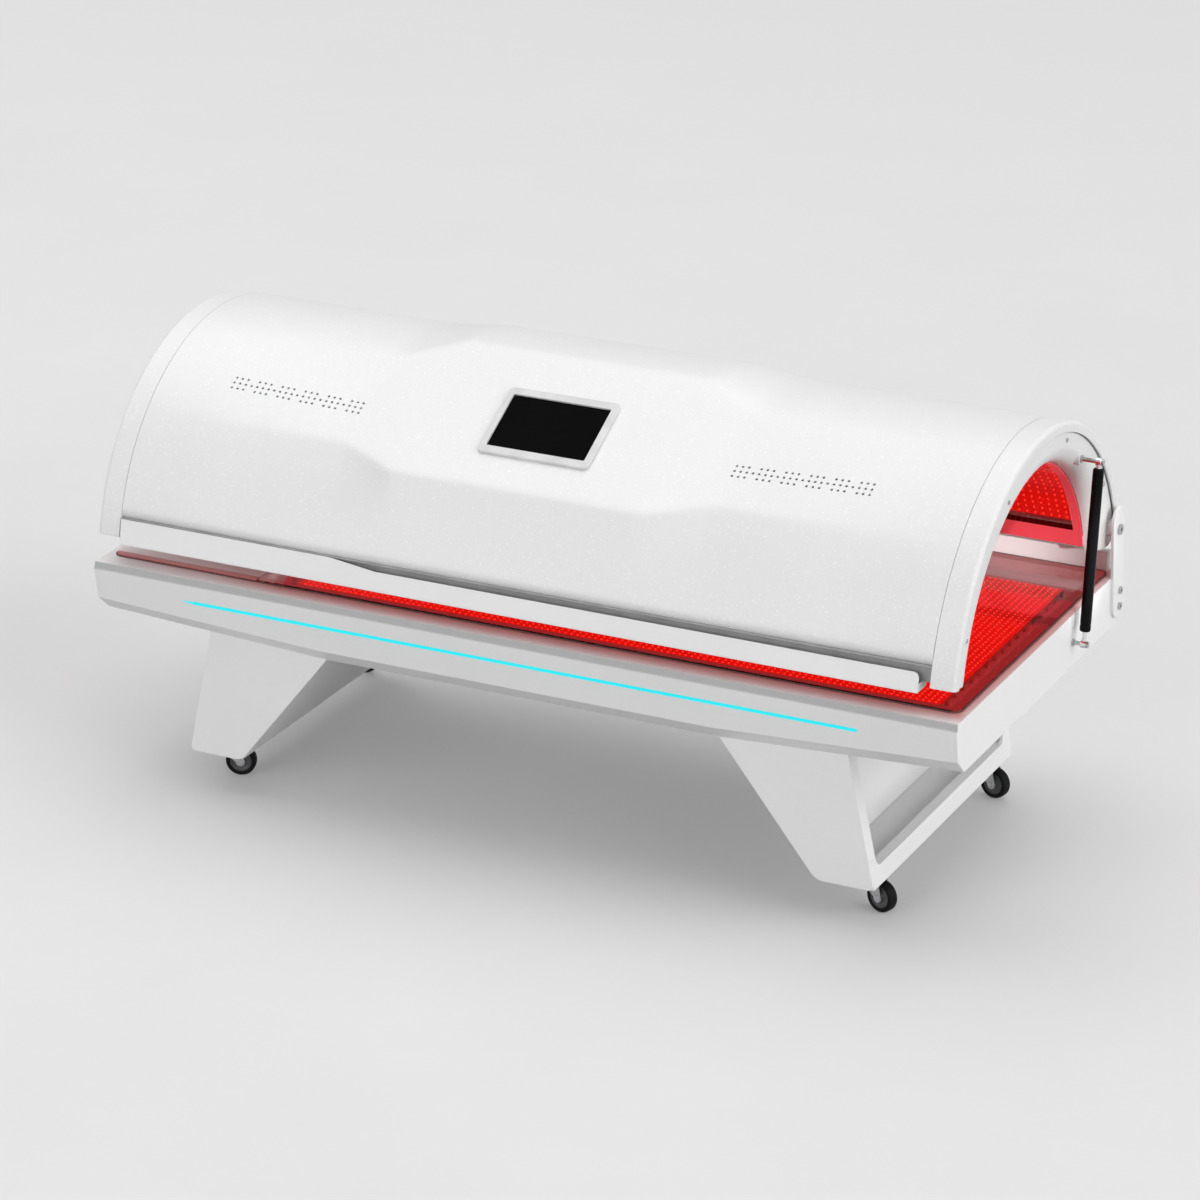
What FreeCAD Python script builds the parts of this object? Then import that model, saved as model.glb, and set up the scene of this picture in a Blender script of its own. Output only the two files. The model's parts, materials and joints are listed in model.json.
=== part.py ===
"""Light therapy bed: a hinged half-barrel canopy over a lit deck on two splayed legs with castors."""
import FreeCAD
import Part
import math
import os

# Driving sizes, in mm. Z is up from the floor, X along the bed, Y to the back.
BASE_LENGTH = 2200.0
BASE_DEPTH = 1056.0
FACE_TOP_Z = 553.0
TOP_RISE = 17.0
TOP_SET_BACK = 6.0
FACE_HEIGHT = 77.0
FACE_LEAN = 0.169
KEEL_DROP = 32.0
KEEL_HALF = 505.0
CHAMFER_Y = 42.0
CHAMFER_Z = 38.0
CASING_WALL = 3.0
FACE_MITRE = 0.2
CHAMFER_MITRE = 0.4
END_PANEL_T = 4.0
SLOT_X = 260.0
SLOT_PITCH = 22.0
SLOT_W = 8.0
SLOT_L = 140.0
SLOT_COUNT = 7

# Deck, boards and the frame under them.
DECK_END_MARGIN = 20.0
DECK_SIDE_MARGIN = 60.0
DECK_T = 10.0
DECK_PROUD = 6.0
DECK_CORNER = 20.0
HEAD_LENGTH = 390.0
DECK_JOINT = 4.0
SEAL_W = 3.5
SEAL_LIFT = 1.0
SEAL_SINK = 3.0
TRAY_DEPTH = 36.0
TRAY_T = 2.0
CROSS_TUBE_H = 30.0
CROSS_TUBE_W = 40.0
LONG_TUBE = 40.0
TUBE_WALL = 3.0
LEDGE_T = 4.0
LEDGE_W = 25.0
FRAME_INSET = 20.0
END_BAY = 60.0
LEG_BAY = 50.0
MID_BAY = 297.0
POST_FROM_LEG = 164.0
POST_W = 40.0
POST_INSET = 60.0
JOINT_BAR_W = 20.0
BOARD_T = 3.0
BOARD_COUNT = 4
BOARD_FRONT_IN = 55.0
BOARD_REAR_IN = 112.0
BOARD_HEAD_IN = 80.0
BOARD_FOOT_IN = 65.0
SINK_H = 17.0
SINK_BASE = 4.0
FIN_T = 3.0
FIN_PITCH = 48.0
ACCENT_H = 7.5
ACCENT_DROP = 43.0
ACCENT_END = 235.0
ACCENT_TIP = 40.0
ACCENT_DEPTH = 6.0
ACCENT_PROUD = 1.0
RAIL_H = 48.0
RAIL_T = 28.0
RAIL_FROM_SEAL = 3.0
RAIL_FROM_END = 25.0
RAIL_WALL = 2.5
RAIL_ROUND = 5.0

# Power supplies, mains inlet and rocker.
SUPPLY_L = 220.0
SUPPLY_W = 120.0
SUPPLY_H = 42.0
SUPPLY_STEP = 370.0
SUPPLY_FROM_FRONT = 158.0
SUPPLY_FOOT_OUT = 12.0
SUPPLY_FOOT_IN = 10.0
SUPPLY_FOOT_T = 3.0
INLET_W = 50.0
INLET_H = 58.0
INLET_DEPTH = 34.0
INLET_FROM_BACK = 228.0
INLET_DROP = 60.0
FLANGE_W = 5.0
FLANGE_T = 3.0
SOCKET_W = 26.0
SOCKET_H = 19.0
SOCKET_DEPTH = 18.0
SOCKET_FROM_LOW = 5.0
CONTACT_STEP = 7.0
CONTACT_T = 2.0
CONTACT_H = 7.0
CONTACT_IN = 4.0
ROCKER_W = 20.0
ROCKER_H = 14.0
ROCKER_TILT = 6.0
ROCKER_RISE = 14.0
ROCKER_ROOM = 3.2
ROCKER_BACK = 7.0
ROCKER_PROUD = 5.0
ROCKER_DIP = 1.0
ROCKER_PIN_R = 2.0
ROCKER_PIN_IN = 2.0
ROCKER_PIN_OUT = 3.0
WELL_DEPTH = 14.0

# Canopy. The raised middle, the screen, the vents and the fans stand off the bed's middle by POD_X.
CANOPY_OVERHANG = 1.0
CANOPY_RAISE = 17.0
CANOPY_END_GAP = 10.0
CANOPY_DEPTH = 104.0
AXIS_DROP = 25.0
FRONT_GAP = 72.0
REAR_GAP = 88.0
RING_W = 59.0
RING_WALL = 4.0
RING_SOFT = 10.0
RING_CAP = 0.4
RING_FLANGE_IN = 53.0
LIP_H = 25.0
HINGE_HOLE_R = 26.0
HINGE_HUB_R = 20.0
COVER_INSET = 7.0
COVER_T = 4.0
COVER_SCREWS = (67.0, 26.5, -17.0, -56.0)
COVER_SCREW_IN = 45.0
SCREW_R = 2.5
SCREW_PAST = 2.0
SCREW_HEAD_R = 5.5
SCREW_HEAD_T = 3.0
SCREW_ROUND = 1.5
SCREW_KEY_R = 2.0
SCREW_KEY_DEPTH = 1.5
FLARE_H = 63.0
FLARE_L = 46.0
FLARE_STEP = 4.0
SHELL_T = 3.5
SHELL_LIFT = 46.0
FACET_TILT = 28.75
FACET_CUT = 29.0
FACET_LOW = 9.0
FACET_HIGH = 11.0
FACET_CROWN = 1.5
WAIST = 11.0
BACK_RISE = 1.0
CROWN_TURN = -18.0
BACK_TURN = -50.0
HIP_TURN = -64.0
POD_X = -30.0
POD_HALF = 322.0
POD_RUN = 143.0
POD_LOW = 6.0
POD_WAIST = 3.0
POD_CROWN = 1.0
POD_CROWN_TURN = -20.0
POD_HIP = 5.0
LINER_T = 3.0
LINER_ANGLE = 76.0
CANOPY_BOARDS = 9
BOARD_STEP = 15.0
BOARD_GAP = 7.0
BOARD_END_IN = 26.0
RIB_T = 5.0
RIB_H = 43.0
RIB_END_LIFT = 8.0
RIB_TAB_IN = 4.0
RIB_TAB_UP = 12.0
END_RIB_PAST = 23.0
STRINGER = 22.0
STRINGER_WALL = 2.0
STRINGER_ANGLES = (-52.0, -22.0, 4.0, 58.0)
BEAM_W = 40.0
BEAM_WALL = 2.5
BEAM_LIFT = 3.0
REAR_BEAM_FRONT = 12.0
REAR_BEAM_BACK = 36.0
REAR_BEAM_LOW = 24.0
REAR_BEAM_HIGH = 18.0
BLOCK_BACK = 17.0
BLOCK_H = 28.0
BLOCK_INSIDE = 30.0
BLOCK_GAP = 8.0
GRIP_DROP = 15.0
GRIP_STEP = 15.0
GRIP_T = 3.0
GRIP_LEAN = 0.19
GRIP_HEAD_GAP = 4.0
GRIP_END_GAP = 26.0
GRIP_RAMP = 120.0
GRIP_POCKET = 12.0
GRIP_SET_BACK = 2.5
GRIP_UNDER = 22.0
GRIP_CORNER = 12.0
GRIP_CAP_IN = 2.0
SCREEN_W = 283.0
SCREEN_H = 206.0
SCREEN_DOWN = 5.0
SCREEN_ROOM = 6.0
GLASS_W = 251.0
GLASS_H = 163.0
GLASS_T = 11.0
GLASS_SINK = 6.0
BEZEL_H = 8.0
BEZEL_WALL = 4.0
BEZEL_FLOOR = 3.0
BEZEL_CORNER = 12.0
BEZEL_ROUND = 3.0
VENT_D = 6.5
VENT_PITCH = 15.3
VENT_COLS = 23
VENT_GROUP = 4
VENT_X = 647.0
VENT_DOWN = 36.0
FAN_R = 40.0
FAN_T = 20.0
FAN_RIM = 4.0
FAN_LIFT = 6.0
FAN_CORNER = 6.0
FAN_PIN_R = 2.0
FAN_PIN_L = 14.0
FAN_HUB_R = 14.0
FAN_HUB_H = 13.0
FAN_HUB_LIP = 1.0
SPOKE_W = 6.0
SPOKE_T = 3.0
FAN_BLADES = 7
BLADE_T = 2.0
BLADE_W = 10.0
BLADE_TURN = 38.0
BLADE_ROOT = 2.0
BLADE_GAP = 1.5

# Hinge and gas struts. Both strut studs stand the same arm away from the hinge pin.
PIVOT_INSET = 70.0
PIVOT_RISE = 143.0
PIN_D = 16.0
PIN_BEHIND = 41.0
PIN_HEAD_R = 13.0
PIN_HEAD_T = 6.0
PIN_KEY_R = 5.0
PIN_KEY_DEPTH = 3.5
BRACKET_R = 36.0
BRACKET_T = 8.0
BRACKET_HEAD = 19.0
BRACKET_LOW_BACK = 20.0
BRACKET_LOW_DROP = 58.0
BRACKET_ROUND = 2.5
BOLT_R = 4.0
BOLT_BACK = 22.0
BOLT_DROPS = (26.0, 66.0)
BOLT_PAST = 12.0
BOLT_HEAD_R = 9.0
BOLT_HEAD_T = 5.0
BOLT_KEY_R = 4.0
BOLT_KEY_DEPTH = 3.0
NUT_R = 8.0
NUT_T = 7.0
STRUT_OUT = 28.0
STRUT_ARM_Y = 269.0
STRUT_ARM_Z = 188.0
STRUT_TOP_TURN = 132.1
STRUT_D = 26.0
STRUT_WALL = 2.2
STRUT_ROUND = 2.0
STRUT_PLUG = 12.0
GLAND_AT = 31.0
GLAND_L = 8.0
CYLINDER_TOP = 15.0
NECK_R = 6.0
NECK_SINK = 2.0
ROD_D = 10.0
ROD_LENGTH = 262.0
ROD_FROM_EYE = 6.0
PISTON_L = 14.0
STUD_R = 5.0
STUD_FLANGE_R = 9.0
STUD_FLANGE_T = 4.0
STUD_CAP_R = 7.0
STUD_CAP_T = 4.0
STUD_NUT_R = 7.0
STUD_NUT_T = 6.0
STUD_ROOT = 10.0
STUD_BOSS_R = 15.0
STUD_BOSS_PROUD = 1.0
STUD_BOSS_IN = 26.0
TOP_STUD_ROOT = 14.0
EYE_R = 9.0
EYE_W = 14.0

# Legs and castors. Each castor rests at its own turn.
LEG_TOP_FROM_END = 280.0
LEG_SET_IN = 2.0
LEG_REAR_IN = 75.0
FOOT_IN_FROM_END = 352.0
FOOT_OUT_FROM_END = 210.0
PLATE_T = 5.0
PLATE_TAB = 40.0
PLATE_LIP = 34.0
WEB_T = 4.0
WEB_TAB = 60.0
FOOT_H = 42.0
FOOT_WALL = 8.0
FOOT_RIM = 22.0
FOOT_ROUND_IN = 38.0
FOOT_ROUND_OUT = 12.0
FRAME_ROUND = 22.0
CASTOR_FROM_FOOT = 45.0
CASTOR_FROM_FRONT = 118.0
CASTOR_FROM_REAR = 43.0
CASTOR_TURNS = {"fl": 20.0, "fr": -19.0, "rl": 165.0, "rr": -15.0}
WHEEL_D = 75.0
WHEEL_W = 25.0
WHEEL_ROOM = 7.0
HUB_R = 12.0
HUB_PROUD = 2.0
AXLE_R = 4.0
AXLE_HEAD_R = 7.0
AXLE_HEAD_T = 3.0
TRAIL = 22.0
MOUNT_X = 76.0
MOUNT_Y = 64.0
MOUNT_T = 4.0
MOUNT_CORNER = 6.0
RACE_PROUD = 1.0
KING_R = 6.0
KING_HEAD_R = 9.0
KING_HEAD_T = 2.0
CROWN_H = 18.0
CROWN_T = 6.0
CROWN_R = 25.0
FORK_T = 3.0
FORK_FRONT = 20.0
FORK_BACK = 22.0
FORK_HEEL = 24.0
FORK_HEEL_DROP = 7.0
FORK_EYE_R = 11.0
PEDAL_BACK = 15.0
PEDAL_DROP = 9.0
PEDAL_PIN_R = 3.0
PEDAL_HUB_R = 6.0
PEDAL_ROOT = 2.0
PEDAL_REACH = 36.0
PEDAL_TOP = 5.0
PEDAL_FALL = 11.0
PEDAL_TIP = 4.0
PEDAL_UNDER = 4.0

# Named clearances, and how far a cutting tool runs past what it cuts.
RUN_FIT = 0.05
MOVE_GAP = 0.4
SEAT_GAP = 0.3
SEAM = 1.0
SCREW_FIT = 0.1
CUT_PAST = 10.0
DRILL = 40.0
SAME = 0.01
PARALLEL = 1e-6
MID_ROUND = math.sqrt(0.5)

# Sizes worked out from the ones above.
HALF = BASE_LENGTH / 2
BASE_TOP = FACE_TOP_Z + TOP_RISE
CANOPY_R = BASE_DEPTH / 2 + CANOPY_OVERHANG
CANOPY_HALF = HALF - CANOPY_END_GAP
FACET_OFFSET = CANOPY_R - FACET_CUT
LINER_R = CANOPY_R - CANOPY_DEPTH
AXIS_Z = BASE_TOP - AXIS_DROP
PIVOT_Y = CANOPY_R - PIVOT_INSET
PIVOT_Z = AXIS_Z + PIVOT_RISE
CANOPY_FRONT_Z = BASE_TOP + FRONT_GAP
CANOPY_REAR_Z = BASE_TOP + REAR_GAP
SHELL_FRONT_Z = CANOPY_FRONT_Z + SHELL_LIFT
DECK_TOP = BASE_TOP + DECK_PROUD
DECK_BOTTOM = DECK_TOP - DECK_T
DECK_X = HALF - DECK_END_MARGIN
DECK_Y = BASE_DEPTH / 2 - DECK_SIDE_MARGIN
HEAD_X = -DECK_X + HEAD_LENGTH
TRAY_Z = DECK_BOTTOM - TRAY_DEPTH
FRAME_Y = DECK_Y - FRAME_INSET
RING_IN = CANOPY_HALF - RING_W
SHELL_HALF = RING_IN - SEAM
COVER_X = CANOPY_HALF - COVER_INSET
COVER_BACK = COVER_X - COVER_T
LIP_R = CANOPY_R - LIP_H
FLARE_R = CANOPY_R - FLARE_H
FLARE_IN = COVER_X - FLARE_L
LINER_HALF = FLARE_IN - SEAM
STRUT_X = HALF + STRUT_OUT
STRUT_ARM = math.hypot(STRUT_ARM_Y, STRUT_ARM_Z)
STRUT_LOW_Y = PIVOT_Y - STRUT_ARM_Y
STRUT_LOW_Z = PIVOT_Z - STRUT_ARM_Z
STRUT_TOP_Y = PIVOT_Y + STRUT_ARM * math.cos(math.radians(STRUT_TOP_TURN))
STRUT_TOP_Z = PIVOT_Z + STRUT_ARM * math.sin(math.radians(STRUT_TOP_TURN))
FRONT_ANGLE = math.degrees(math.acos((CANOPY_FRONT_Z - AXIS_Z) / CANOPY_R))
REAR_ANGLE = math.degrees(math.acos((CANOPY_REAR_Z - AXIS_Z) / CANOPY_R))
SHELL_ANGLE = math.degrees(math.acos((SHELL_FRONT_Z - AXIS_Z) / CANOPY_R))
LEG_TOP_OUT = HALF - LEG_TOP_FROM_END
LEG_FOOT_IN = HALF - FOOT_IN_FROM_END
LEG_FOOT_OUT = HALF - FOOT_OUT_FROM_END
CROWN_Z = WHEEL_D + WHEEL_ROOM
LEG_Z = CROWN_Z + CROWN_H
CASTOR_X = LEG_FOOT_OUT - CASTOR_FROM_FOOT

V = FreeCAD.Vector
X_AXIS = V(1, 0, 0)
Y_AXIS = V(0, 1, 0)
Z_AXIS = V(0, 0, 1)
AXIS_POINT = V(0, 0, AXIS_Z)


# Shape helpers.
def box(x0, x1, y0, y1, z0, z1):
    return Part.makeBox(x1 - x0, y1 - y0, z1 - z0, V(x0, y0, z0))


def rod(x, y, z, axis, radius, length):
    return Part.makeCylinder(radius, length, V(x, y, z), axis)


def join(shapes):
    first = shapes[0]
    if len(shapes) == 1:
        return first
    return first.fuse(shapes[1:]).removeSplitter()


def mirror_x(shape):
    return shape.mirror(V(0, 0, 0), X_AXIS)


def mirror_y(shape):
    return shape.mirror(V(0, 0, 0), Y_AXIS)


def polygon(points):
    return Part.makePolygon(list(points) + [points[0]])


def plate_xz(points, y0, y1):
    wire = polygon([V(x, y0, z) for x, z in points])
    return Part.Face(wire).extrude(V(0, y1 - y0, 0))


def plate_yz(points, x0, x1):
    wire = polygon([V(x0, y, z) for y, z in points])
    return Part.Face(wire).extrude(V(x1 - x0, 0, 0))


def tube_x(x0, x1, y0, y1, z0, z1, wall):
    inner = box(x0 - CUT_PAST, x1 + CUT_PAST, y0 + wall, y1 - wall, z0 + wall, z1 - wall)
    return box(x0, x1, y0, y1, z0, z1).cut(inner)


def tube_y(x0, x1, y0, y1, z0, z1, wall):
    inner = box(x0 + wall, x1 - wall, y0 - CUT_PAST, y1 + CUT_PAST, z0 + wall, z1 - wall)
    return box(x0, x1, y0, y1, z0, z1).cut(inner)


def round_edges(shape, radius, keep):
    edges = [e for e in shape.Edges if keep(e)]
    return shape.makeFillet(radius, edges)


def along(edge, axis):
    if not isinstance(edge.Curve, Part.Line):
        return False
    return abs(abs(edge.tangentAt(edge.FirstParameter).dot(axis)) - 1) < PARALLEL


def rounded_slab(x0, x1, y0, y1, z0, z1, radius, picks=None):
    slab = box(x0, x1, y0, y1, z0, z1)

    def keep(edge):
        if not along(edge, Z_AXIS):
            return False
        point = edge.CenterOfMass
        return picks is None or any(abs(point.x - x) < SAME for x in picks)

    return round_edges(slab, radius, keep)


def polar(angle, radius):
    a = math.radians(angle)
    return -radius * math.sin(a), AXIS_Z + radius * math.cos(a)


def swept(wire, start, end):
    face = Part.Face(wire)
    face.rotate(AXIS_POINT, X_AXIS, start)
    return face.revolve(AXIS_POINT, X_AXIS, end - start)


def section_point(x, radius):
    return V(x, 0, AXIS_Z + radius)


def line(a, b):
    return Part.LineSegment(a, b).toShape()


def arc(a, b, c):
    return Part.Arc(a, b, c).toShape()


def save(name, shape):
    shape.exportStep("parts/" + name + ".step")


# Base casing: four wall planes whose lower edges rise from the keel to both ends.
def base_profile(inset, end):
    drop = 0.0 if end else KEEL_DROP
    low_z = FACE_TOP_Z - FACE_HEIGHT - drop
    low_y = BASE_DEPTH / 2 - FACE_LEAN * (FACE_HEIGHT + drop)
    bottom_z = low_z - CHAMFER_Z
    bottom_y = low_y - CHAMFER_Y
    half = [(BASE_DEPTH / 2 - TOP_SET_BACK - inset, BASE_TOP - inset),
            (BASE_DEPTH / 2 - inset, FACE_TOP_Z - inset * FACE_MITRE),
            (low_y - inset, low_z + inset * CHAMFER_MITRE),
            (bottom_y - inset * CHAMFER_MITRE, bottom_z + inset)]
    return half + [(-y, z) for y, z in reversed(half)]


def base_solid(inset):
    stations = [(-HALF, True), (-KEEL_HALF, False), (KEEL_HALF, False), (HALF, True)]
    wires = []
    for x, end in stations:
        wires.append(polygon([V(x, y, z) for y, z in base_profile(inset, end)]))
    return Part.makeLoft(wires, True, True)


def keel_z(x):
    low = FACE_TOP_Z - FACE_HEIGHT - CHAMFER_Z
    if abs(x) <= KEEL_HALF:
        return low - KEEL_DROP
    return low - KEEL_DROP * (HALF - abs(x)) / (HALF - KEEL_HALF)


def face_y(z):
    return BASE_DEPTH / 2 - FACE_LEAN * (FACE_TOP_Z - z)


ACCENT_Z = FACE_TOP_Z - ACCENT_DROP
ACCENT_HALF = HALF - ACCENT_END


def accent_outline(grow):
    high = ACCENT_H / 2 + grow
    end = ACCENT_HALF + grow
    blunt = ACCENT_H / 2
    return [(-end, ACCENT_Z), (-end + ACCENT_TIP, ACCENT_Z - high), (end - blunt, ACCENT_Z - high),
            (end, ACCENT_Z), (end - blunt, ACCENT_Z + high), (-end + ACCENT_TIP, ACCENT_Z + high)]


def accent_bar(grow, depth, proud):
    y = -face_y(ACCENT_Z)
    return plate_xz(accent_outline(grow), y - proud, y + depth)


def deck_slab(x0, x1, grow, z0, z1, picks):
    grown = [p + math.copysign(grow, p) for p in picks]
    return rounded_slab(x0, x1, -DECK_Y - grow, DECK_Y + grow, z0, z1, DECK_CORNER + grow, grown)


def deck_outline(grow, z0, z1):
    return deck_slab(-DECK_X - grow, DECK_X + grow, grow, z0, z1, (-DECK_X, DECK_X))


def make_casing():
    reach = HALF - END_PANEL_T
    shell = base_solid(0.0).common(box(-reach, reach, -BASE_DEPTH, BASE_DEPTH, 0, BASE_TOP + CUT_PAST))
    shell = shell.cut(base_solid(CASING_WALL))
    shell = shell.cut(deck_outline(SEAL_W, BASE_TOP - DECK_T - CUT_PAST, BASE_TOP + CUT_PAST))
    shell = shell.cut(accent_bar(SCREW_FIT, CASING_WALL + CUT_PAST, CUT_PAST))
    slots = []
    for side in (-1, 1):
        for i in range(SLOT_COUNT):
            x = side * SLOT_X + (i - (SLOT_COUNT - 1) / 2) * SLOT_PITCH
            z = keel_z(x)
            slots.append(box(x - SLOT_W / 2, x + SLOT_W / 2, -SLOT_L / 2, SLOT_L / 2,
                             z - CUT_PAST, z + CASING_WALL + CUT_PAST))
    return shell.cut(slots)


def make_end_panel(right):
    panel = base_solid(0.0).common(box(HALF - END_PANEL_T, HALF, -BASE_DEPTH, BASE_DEPTH, 0,
                                       BASE_TOP + CUT_PAST))
    start = HALF - END_PANEL_T - CUT_PAST
    bore = END_PANEL_T + 2 * CUT_PAST
    spots = BRACKET_BOLTS + [(STRUT_LOW_Y, STRUT_LOW_Z)]
    panel = panel.cut([rod(start, y, z, X_AXIS, BOLT_R + SCREW_FIT, bore) for y, z in spots])
    if right:
        return panel
    half_z = INLET_H / 2 + SCREW_FIT
    window = inlet_box(-CUT_PAST, END_PANEL_T + CUT_PAST, INLET_W / 2 + SCREW_FIT, INLET_Z - half_z,
                       INLET_Z + half_z)
    return mirror_x(panel).cut(window)


# Welded frame inside the base, with the ledge that carries the deck and a tray for the boards.
FRAME_BAYS = (HALF - END_BAY, LEG_TOP_OUT - LEG_BAY, MID_BAY)
POST_X = LEG_TOP_OUT - POST_FROM_LEG


def make_base_frame():
    reach = HALF - END_PANEL_T - SEAT_GAP
    cross_top = TRAY_Z - TRAY_T
    long_top = cross_top - CROSS_TUBE_H
    pieces = []
    for y in (-FRAME_Y, FRAME_Y - LONG_TUBE):
        pieces.append(tube_x(-reach, reach, y, y + LONG_TUBE, long_top - LONG_TUBE, long_top, TUBE_WALL))
    for side in (-1, 1):
        for bay in FRAME_BAYS:
            x0 = side * bay - CROSS_TUBE_W / 2
            pieces.append(tube_y(x0, x0 + CROSS_TUBE_W, -FRAME_Y, FRAME_Y, long_top, cross_top, TUBE_WALL))
    pieces.append(box(-DECK_X, DECK_X, -FRAME_Y, FRAME_Y, cross_top, TRAY_Z))
    rim = box(-DECK_X, DECK_X, -DECK_Y, DECK_Y, DECK_BOTTOM - LEDGE_T, DECK_BOTTOM)
    hollow_x = DECK_X - LEDGE_W
    hollow_y = DECK_Y - LEDGE_W
    pieces.append(rim.cut(box(-hollow_x, hollow_x, -hollow_y, hollow_y, 0, DECK_TOP)))
    for y in (-FRAME_Y, FRAME_Y - TUBE_WALL):
        pieces.append(box(-DECK_X, DECK_X, y, y + TUBE_WALL, TRAY_Z, DECK_BOTTOM - LEDGE_T))
    for x in (-DECK_X + FRAME_INSET, DECK_X - FRAME_INSET - TUBE_WALL):
        pieces.append(box(x, x + TUBE_WALL, -FRAME_Y, FRAME_Y, TRAY_Z, DECK_BOTTOM - LEDGE_T))
    joint = HEAD_X + DECK_JOINT / 2
    half = JOINT_BAR_W / 2
    pieces.append(box(joint - half, joint + half, -FRAME_Y, FRAME_Y, TRAY_Z, DECK_BOTTOM))
    for x in (-POST_X, POST_X):
        for side in (-1, 1):
            y = side * (FRAME_Y - POST_INSET)
            x0 = x - POST_W / 2
            foot = keel_z(abs(x) + POST_W / 2) + CASING_WALL
            pieces.append(box(x0, x0 + POST_W, y - POST_W / 2, y + POST_W / 2, foot, long_top))
            ends = sorted((y, side * FRAME_Y))
            pieces.append(box(x0, x0 + POST_W, ends[0], ends[1], long_top - CROSS_TUBE_H, long_top))
    return join(pieces)


# Bed boards on finned heatsinks.
BOARD_FRONT = -DECK_Y + BOARD_FRONT_IN
BOARD_REAR = DECK_Y - BOARD_REAR_IN
BOARD_LEFT = HEAD_X + BOARD_HEAD_IN
BOARD_RIGHT = DECK_X - BOARD_FOOT_IN


def board_spans():
    step = (BOARD_RIGHT - BOARD_LEFT) / BOARD_COUNT
    return [(BOARD_LEFT + i * step, BOARD_LEFT + (i + 1) * step - SEAM) for i in range(BOARD_COUNT)]


def make_bed_boards():
    z = TRAY_Z + SINK_H
    boards = [box(a, b, BOARD_FRONT, BOARD_REAR, z, z + BOARD_T) for a, b in board_spans()]
    return Part.makeCompound(boards)


def make_bed_sinks():
    sinks = []
    for a, b in board_spans():
        slab = TRAY_Z + SINK_H - SINK_BASE
        pieces = [box(a, b, BOARD_FRONT, BOARD_REAR, slab, slab + SINK_BASE)]
        fins = int((BOARD_REAR - BOARD_FRONT) // FIN_PITCH)
        for i in range(fins + 1):
            y = BOARD_FRONT + i * (BOARD_REAR - BOARD_FRONT - FIN_T) / fins
            pieces.append(box(a, b, y, y + FIN_T, TRAY_Z, slab))
        sinks.append(join(pieces))
    return Part.makeCompound(sinks)


def make_deck():
    return deck_slab(HEAD_X + DECK_JOINT, DECK_X, 0, DECK_BOTTOM, DECK_TOP, (DECK_X,))


def make_head_deck():
    return deck_slab(-DECK_X, HEAD_X, 0, DECK_BOTTOM, DECK_TOP, (-DECK_X,))


def make_seal():
    outer = deck_outline(SEAL_W, DECK_BOTTOM + SEAL_LIFT, DECK_TOP - SEAL_SINK)
    return outer.cut(deck_outline(0.0, DECK_BOTTOM - CUT_PAST, DECK_TOP + CUT_PAST))


RAIL_FRONT = DECK_Y + SEAL_W + RAIL_FROM_SEAL


def make_rear_rail():
    reach = HALF - RAIL_FROM_END
    back = RAIL_FRONT + RAIL_T
    top = BASE_TOP + RAIL_H
    rail = tube_x(-reach, reach, RAIL_FRONT, back, BASE_TOP, top, RAIL_WALL)
    caps = [box(x, x + RAIL_WALL, RAIL_FRONT, back, BASE_TOP, top) for x in (-reach, reach - RAIL_WALL)]
    rail = join([rail] + caps)

    def upper(edge):
        return along(edge, X_AXIS) and abs(edge.CenterOfMass.z - top) < SAME

    return round_edges(rail, RAIL_ROUND, upper)


def make_supplies():
    units = []
    front = -FRAME_Y + SUPPLY_FROM_FRONT
    back = front + SUPPLY_W
    foot = SUPPLY_L / 2 + SUPPLY_FOOT_OUT
    for i in (-1, 0, 1):
        x = i * SUPPLY_STEP
        floor = keel_z(x) + CASING_WALL
        body = box(x - SUPPLY_L / 2, x + SUPPLY_L / 2, front, back, floor, floor + SUPPLY_H)
        feet = box(x - foot, x + foot, front + SUPPLY_FOOT_IN, back - SUPPLY_FOOT_IN, floor,
                   floor + SUPPLY_FOOT_T)
        units.append(join([body, feet]))
    return Part.makeCompound(units)


# Mains inlet and rocker on the head-end panel.
INLET_Y = BASE_DEPTH / 2 - INLET_FROM_BACK
INLET_Z = FACE_TOP_Z - INLET_DROP
ROCKER_X = -HALF + ROCKER_PIN_IN
ROCKER_Z = INLET_Z + ROCKER_RISE


def inlet_box(x0, x1, half_y, z0, z1):
    return box(-HALF + x0, -HALF + x1, INLET_Y - half_y, INLET_Y + half_y, z0, z1)


def rocker_pin(grow, past):
    reach = ROCKER_W / 2 + ROCKER_PIN_OUT + past
    return rod(ROCKER_X, INLET_Y - reach, ROCKER_Z, Y_AXIS, ROCKER_PIN_R + grow, 2 * reach)


def make_inlet():
    half_w = INLET_W / 2
    low = INLET_Z - INLET_H / 2
    high = INLET_Z + INLET_H / 2
    body = inlet_box(0.0, INLET_DEPTH, half_w, low, high)
    flange = inlet_box(-FLANGE_T, 0.0, half_w + FLANGE_W, low - FLANGE_W, high + FLANGE_W)
    socket_low = low + SOCKET_FROM_LOW
    socket = inlet_box(-CUT_PAST, SOCKET_DEPTH, SOCKET_W / 2, socket_low, socket_low + SOCKET_H)
    room = ROCKER_H / 2 + ROCKER_ROOM
    well = inlet_box(-CUT_PAST, WELL_DEPTH, ROCKER_W / 2 + MOVE_GAP, ROCKER_Z - room, ROCKER_Z + room)
    inlet = join([body, flange]).cut([socket, well, rocker_pin(RUN_FIT, SEAM)])
    middle = socket_low + SOCKET_H / 2
    contacts = []
    for step in (-1, 0, 1):
        contact = inlet_box(CONTACT_IN, SOCKET_DEPTH, CONTACT_T / 2, middle - CONTACT_H / 2,
                            middle + CONTACT_H / 2)
        contact.translate(V(0, step * CONTACT_STEP, 0))
        contacts.append(contact)
    return join([inlet] + contacts)


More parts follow.
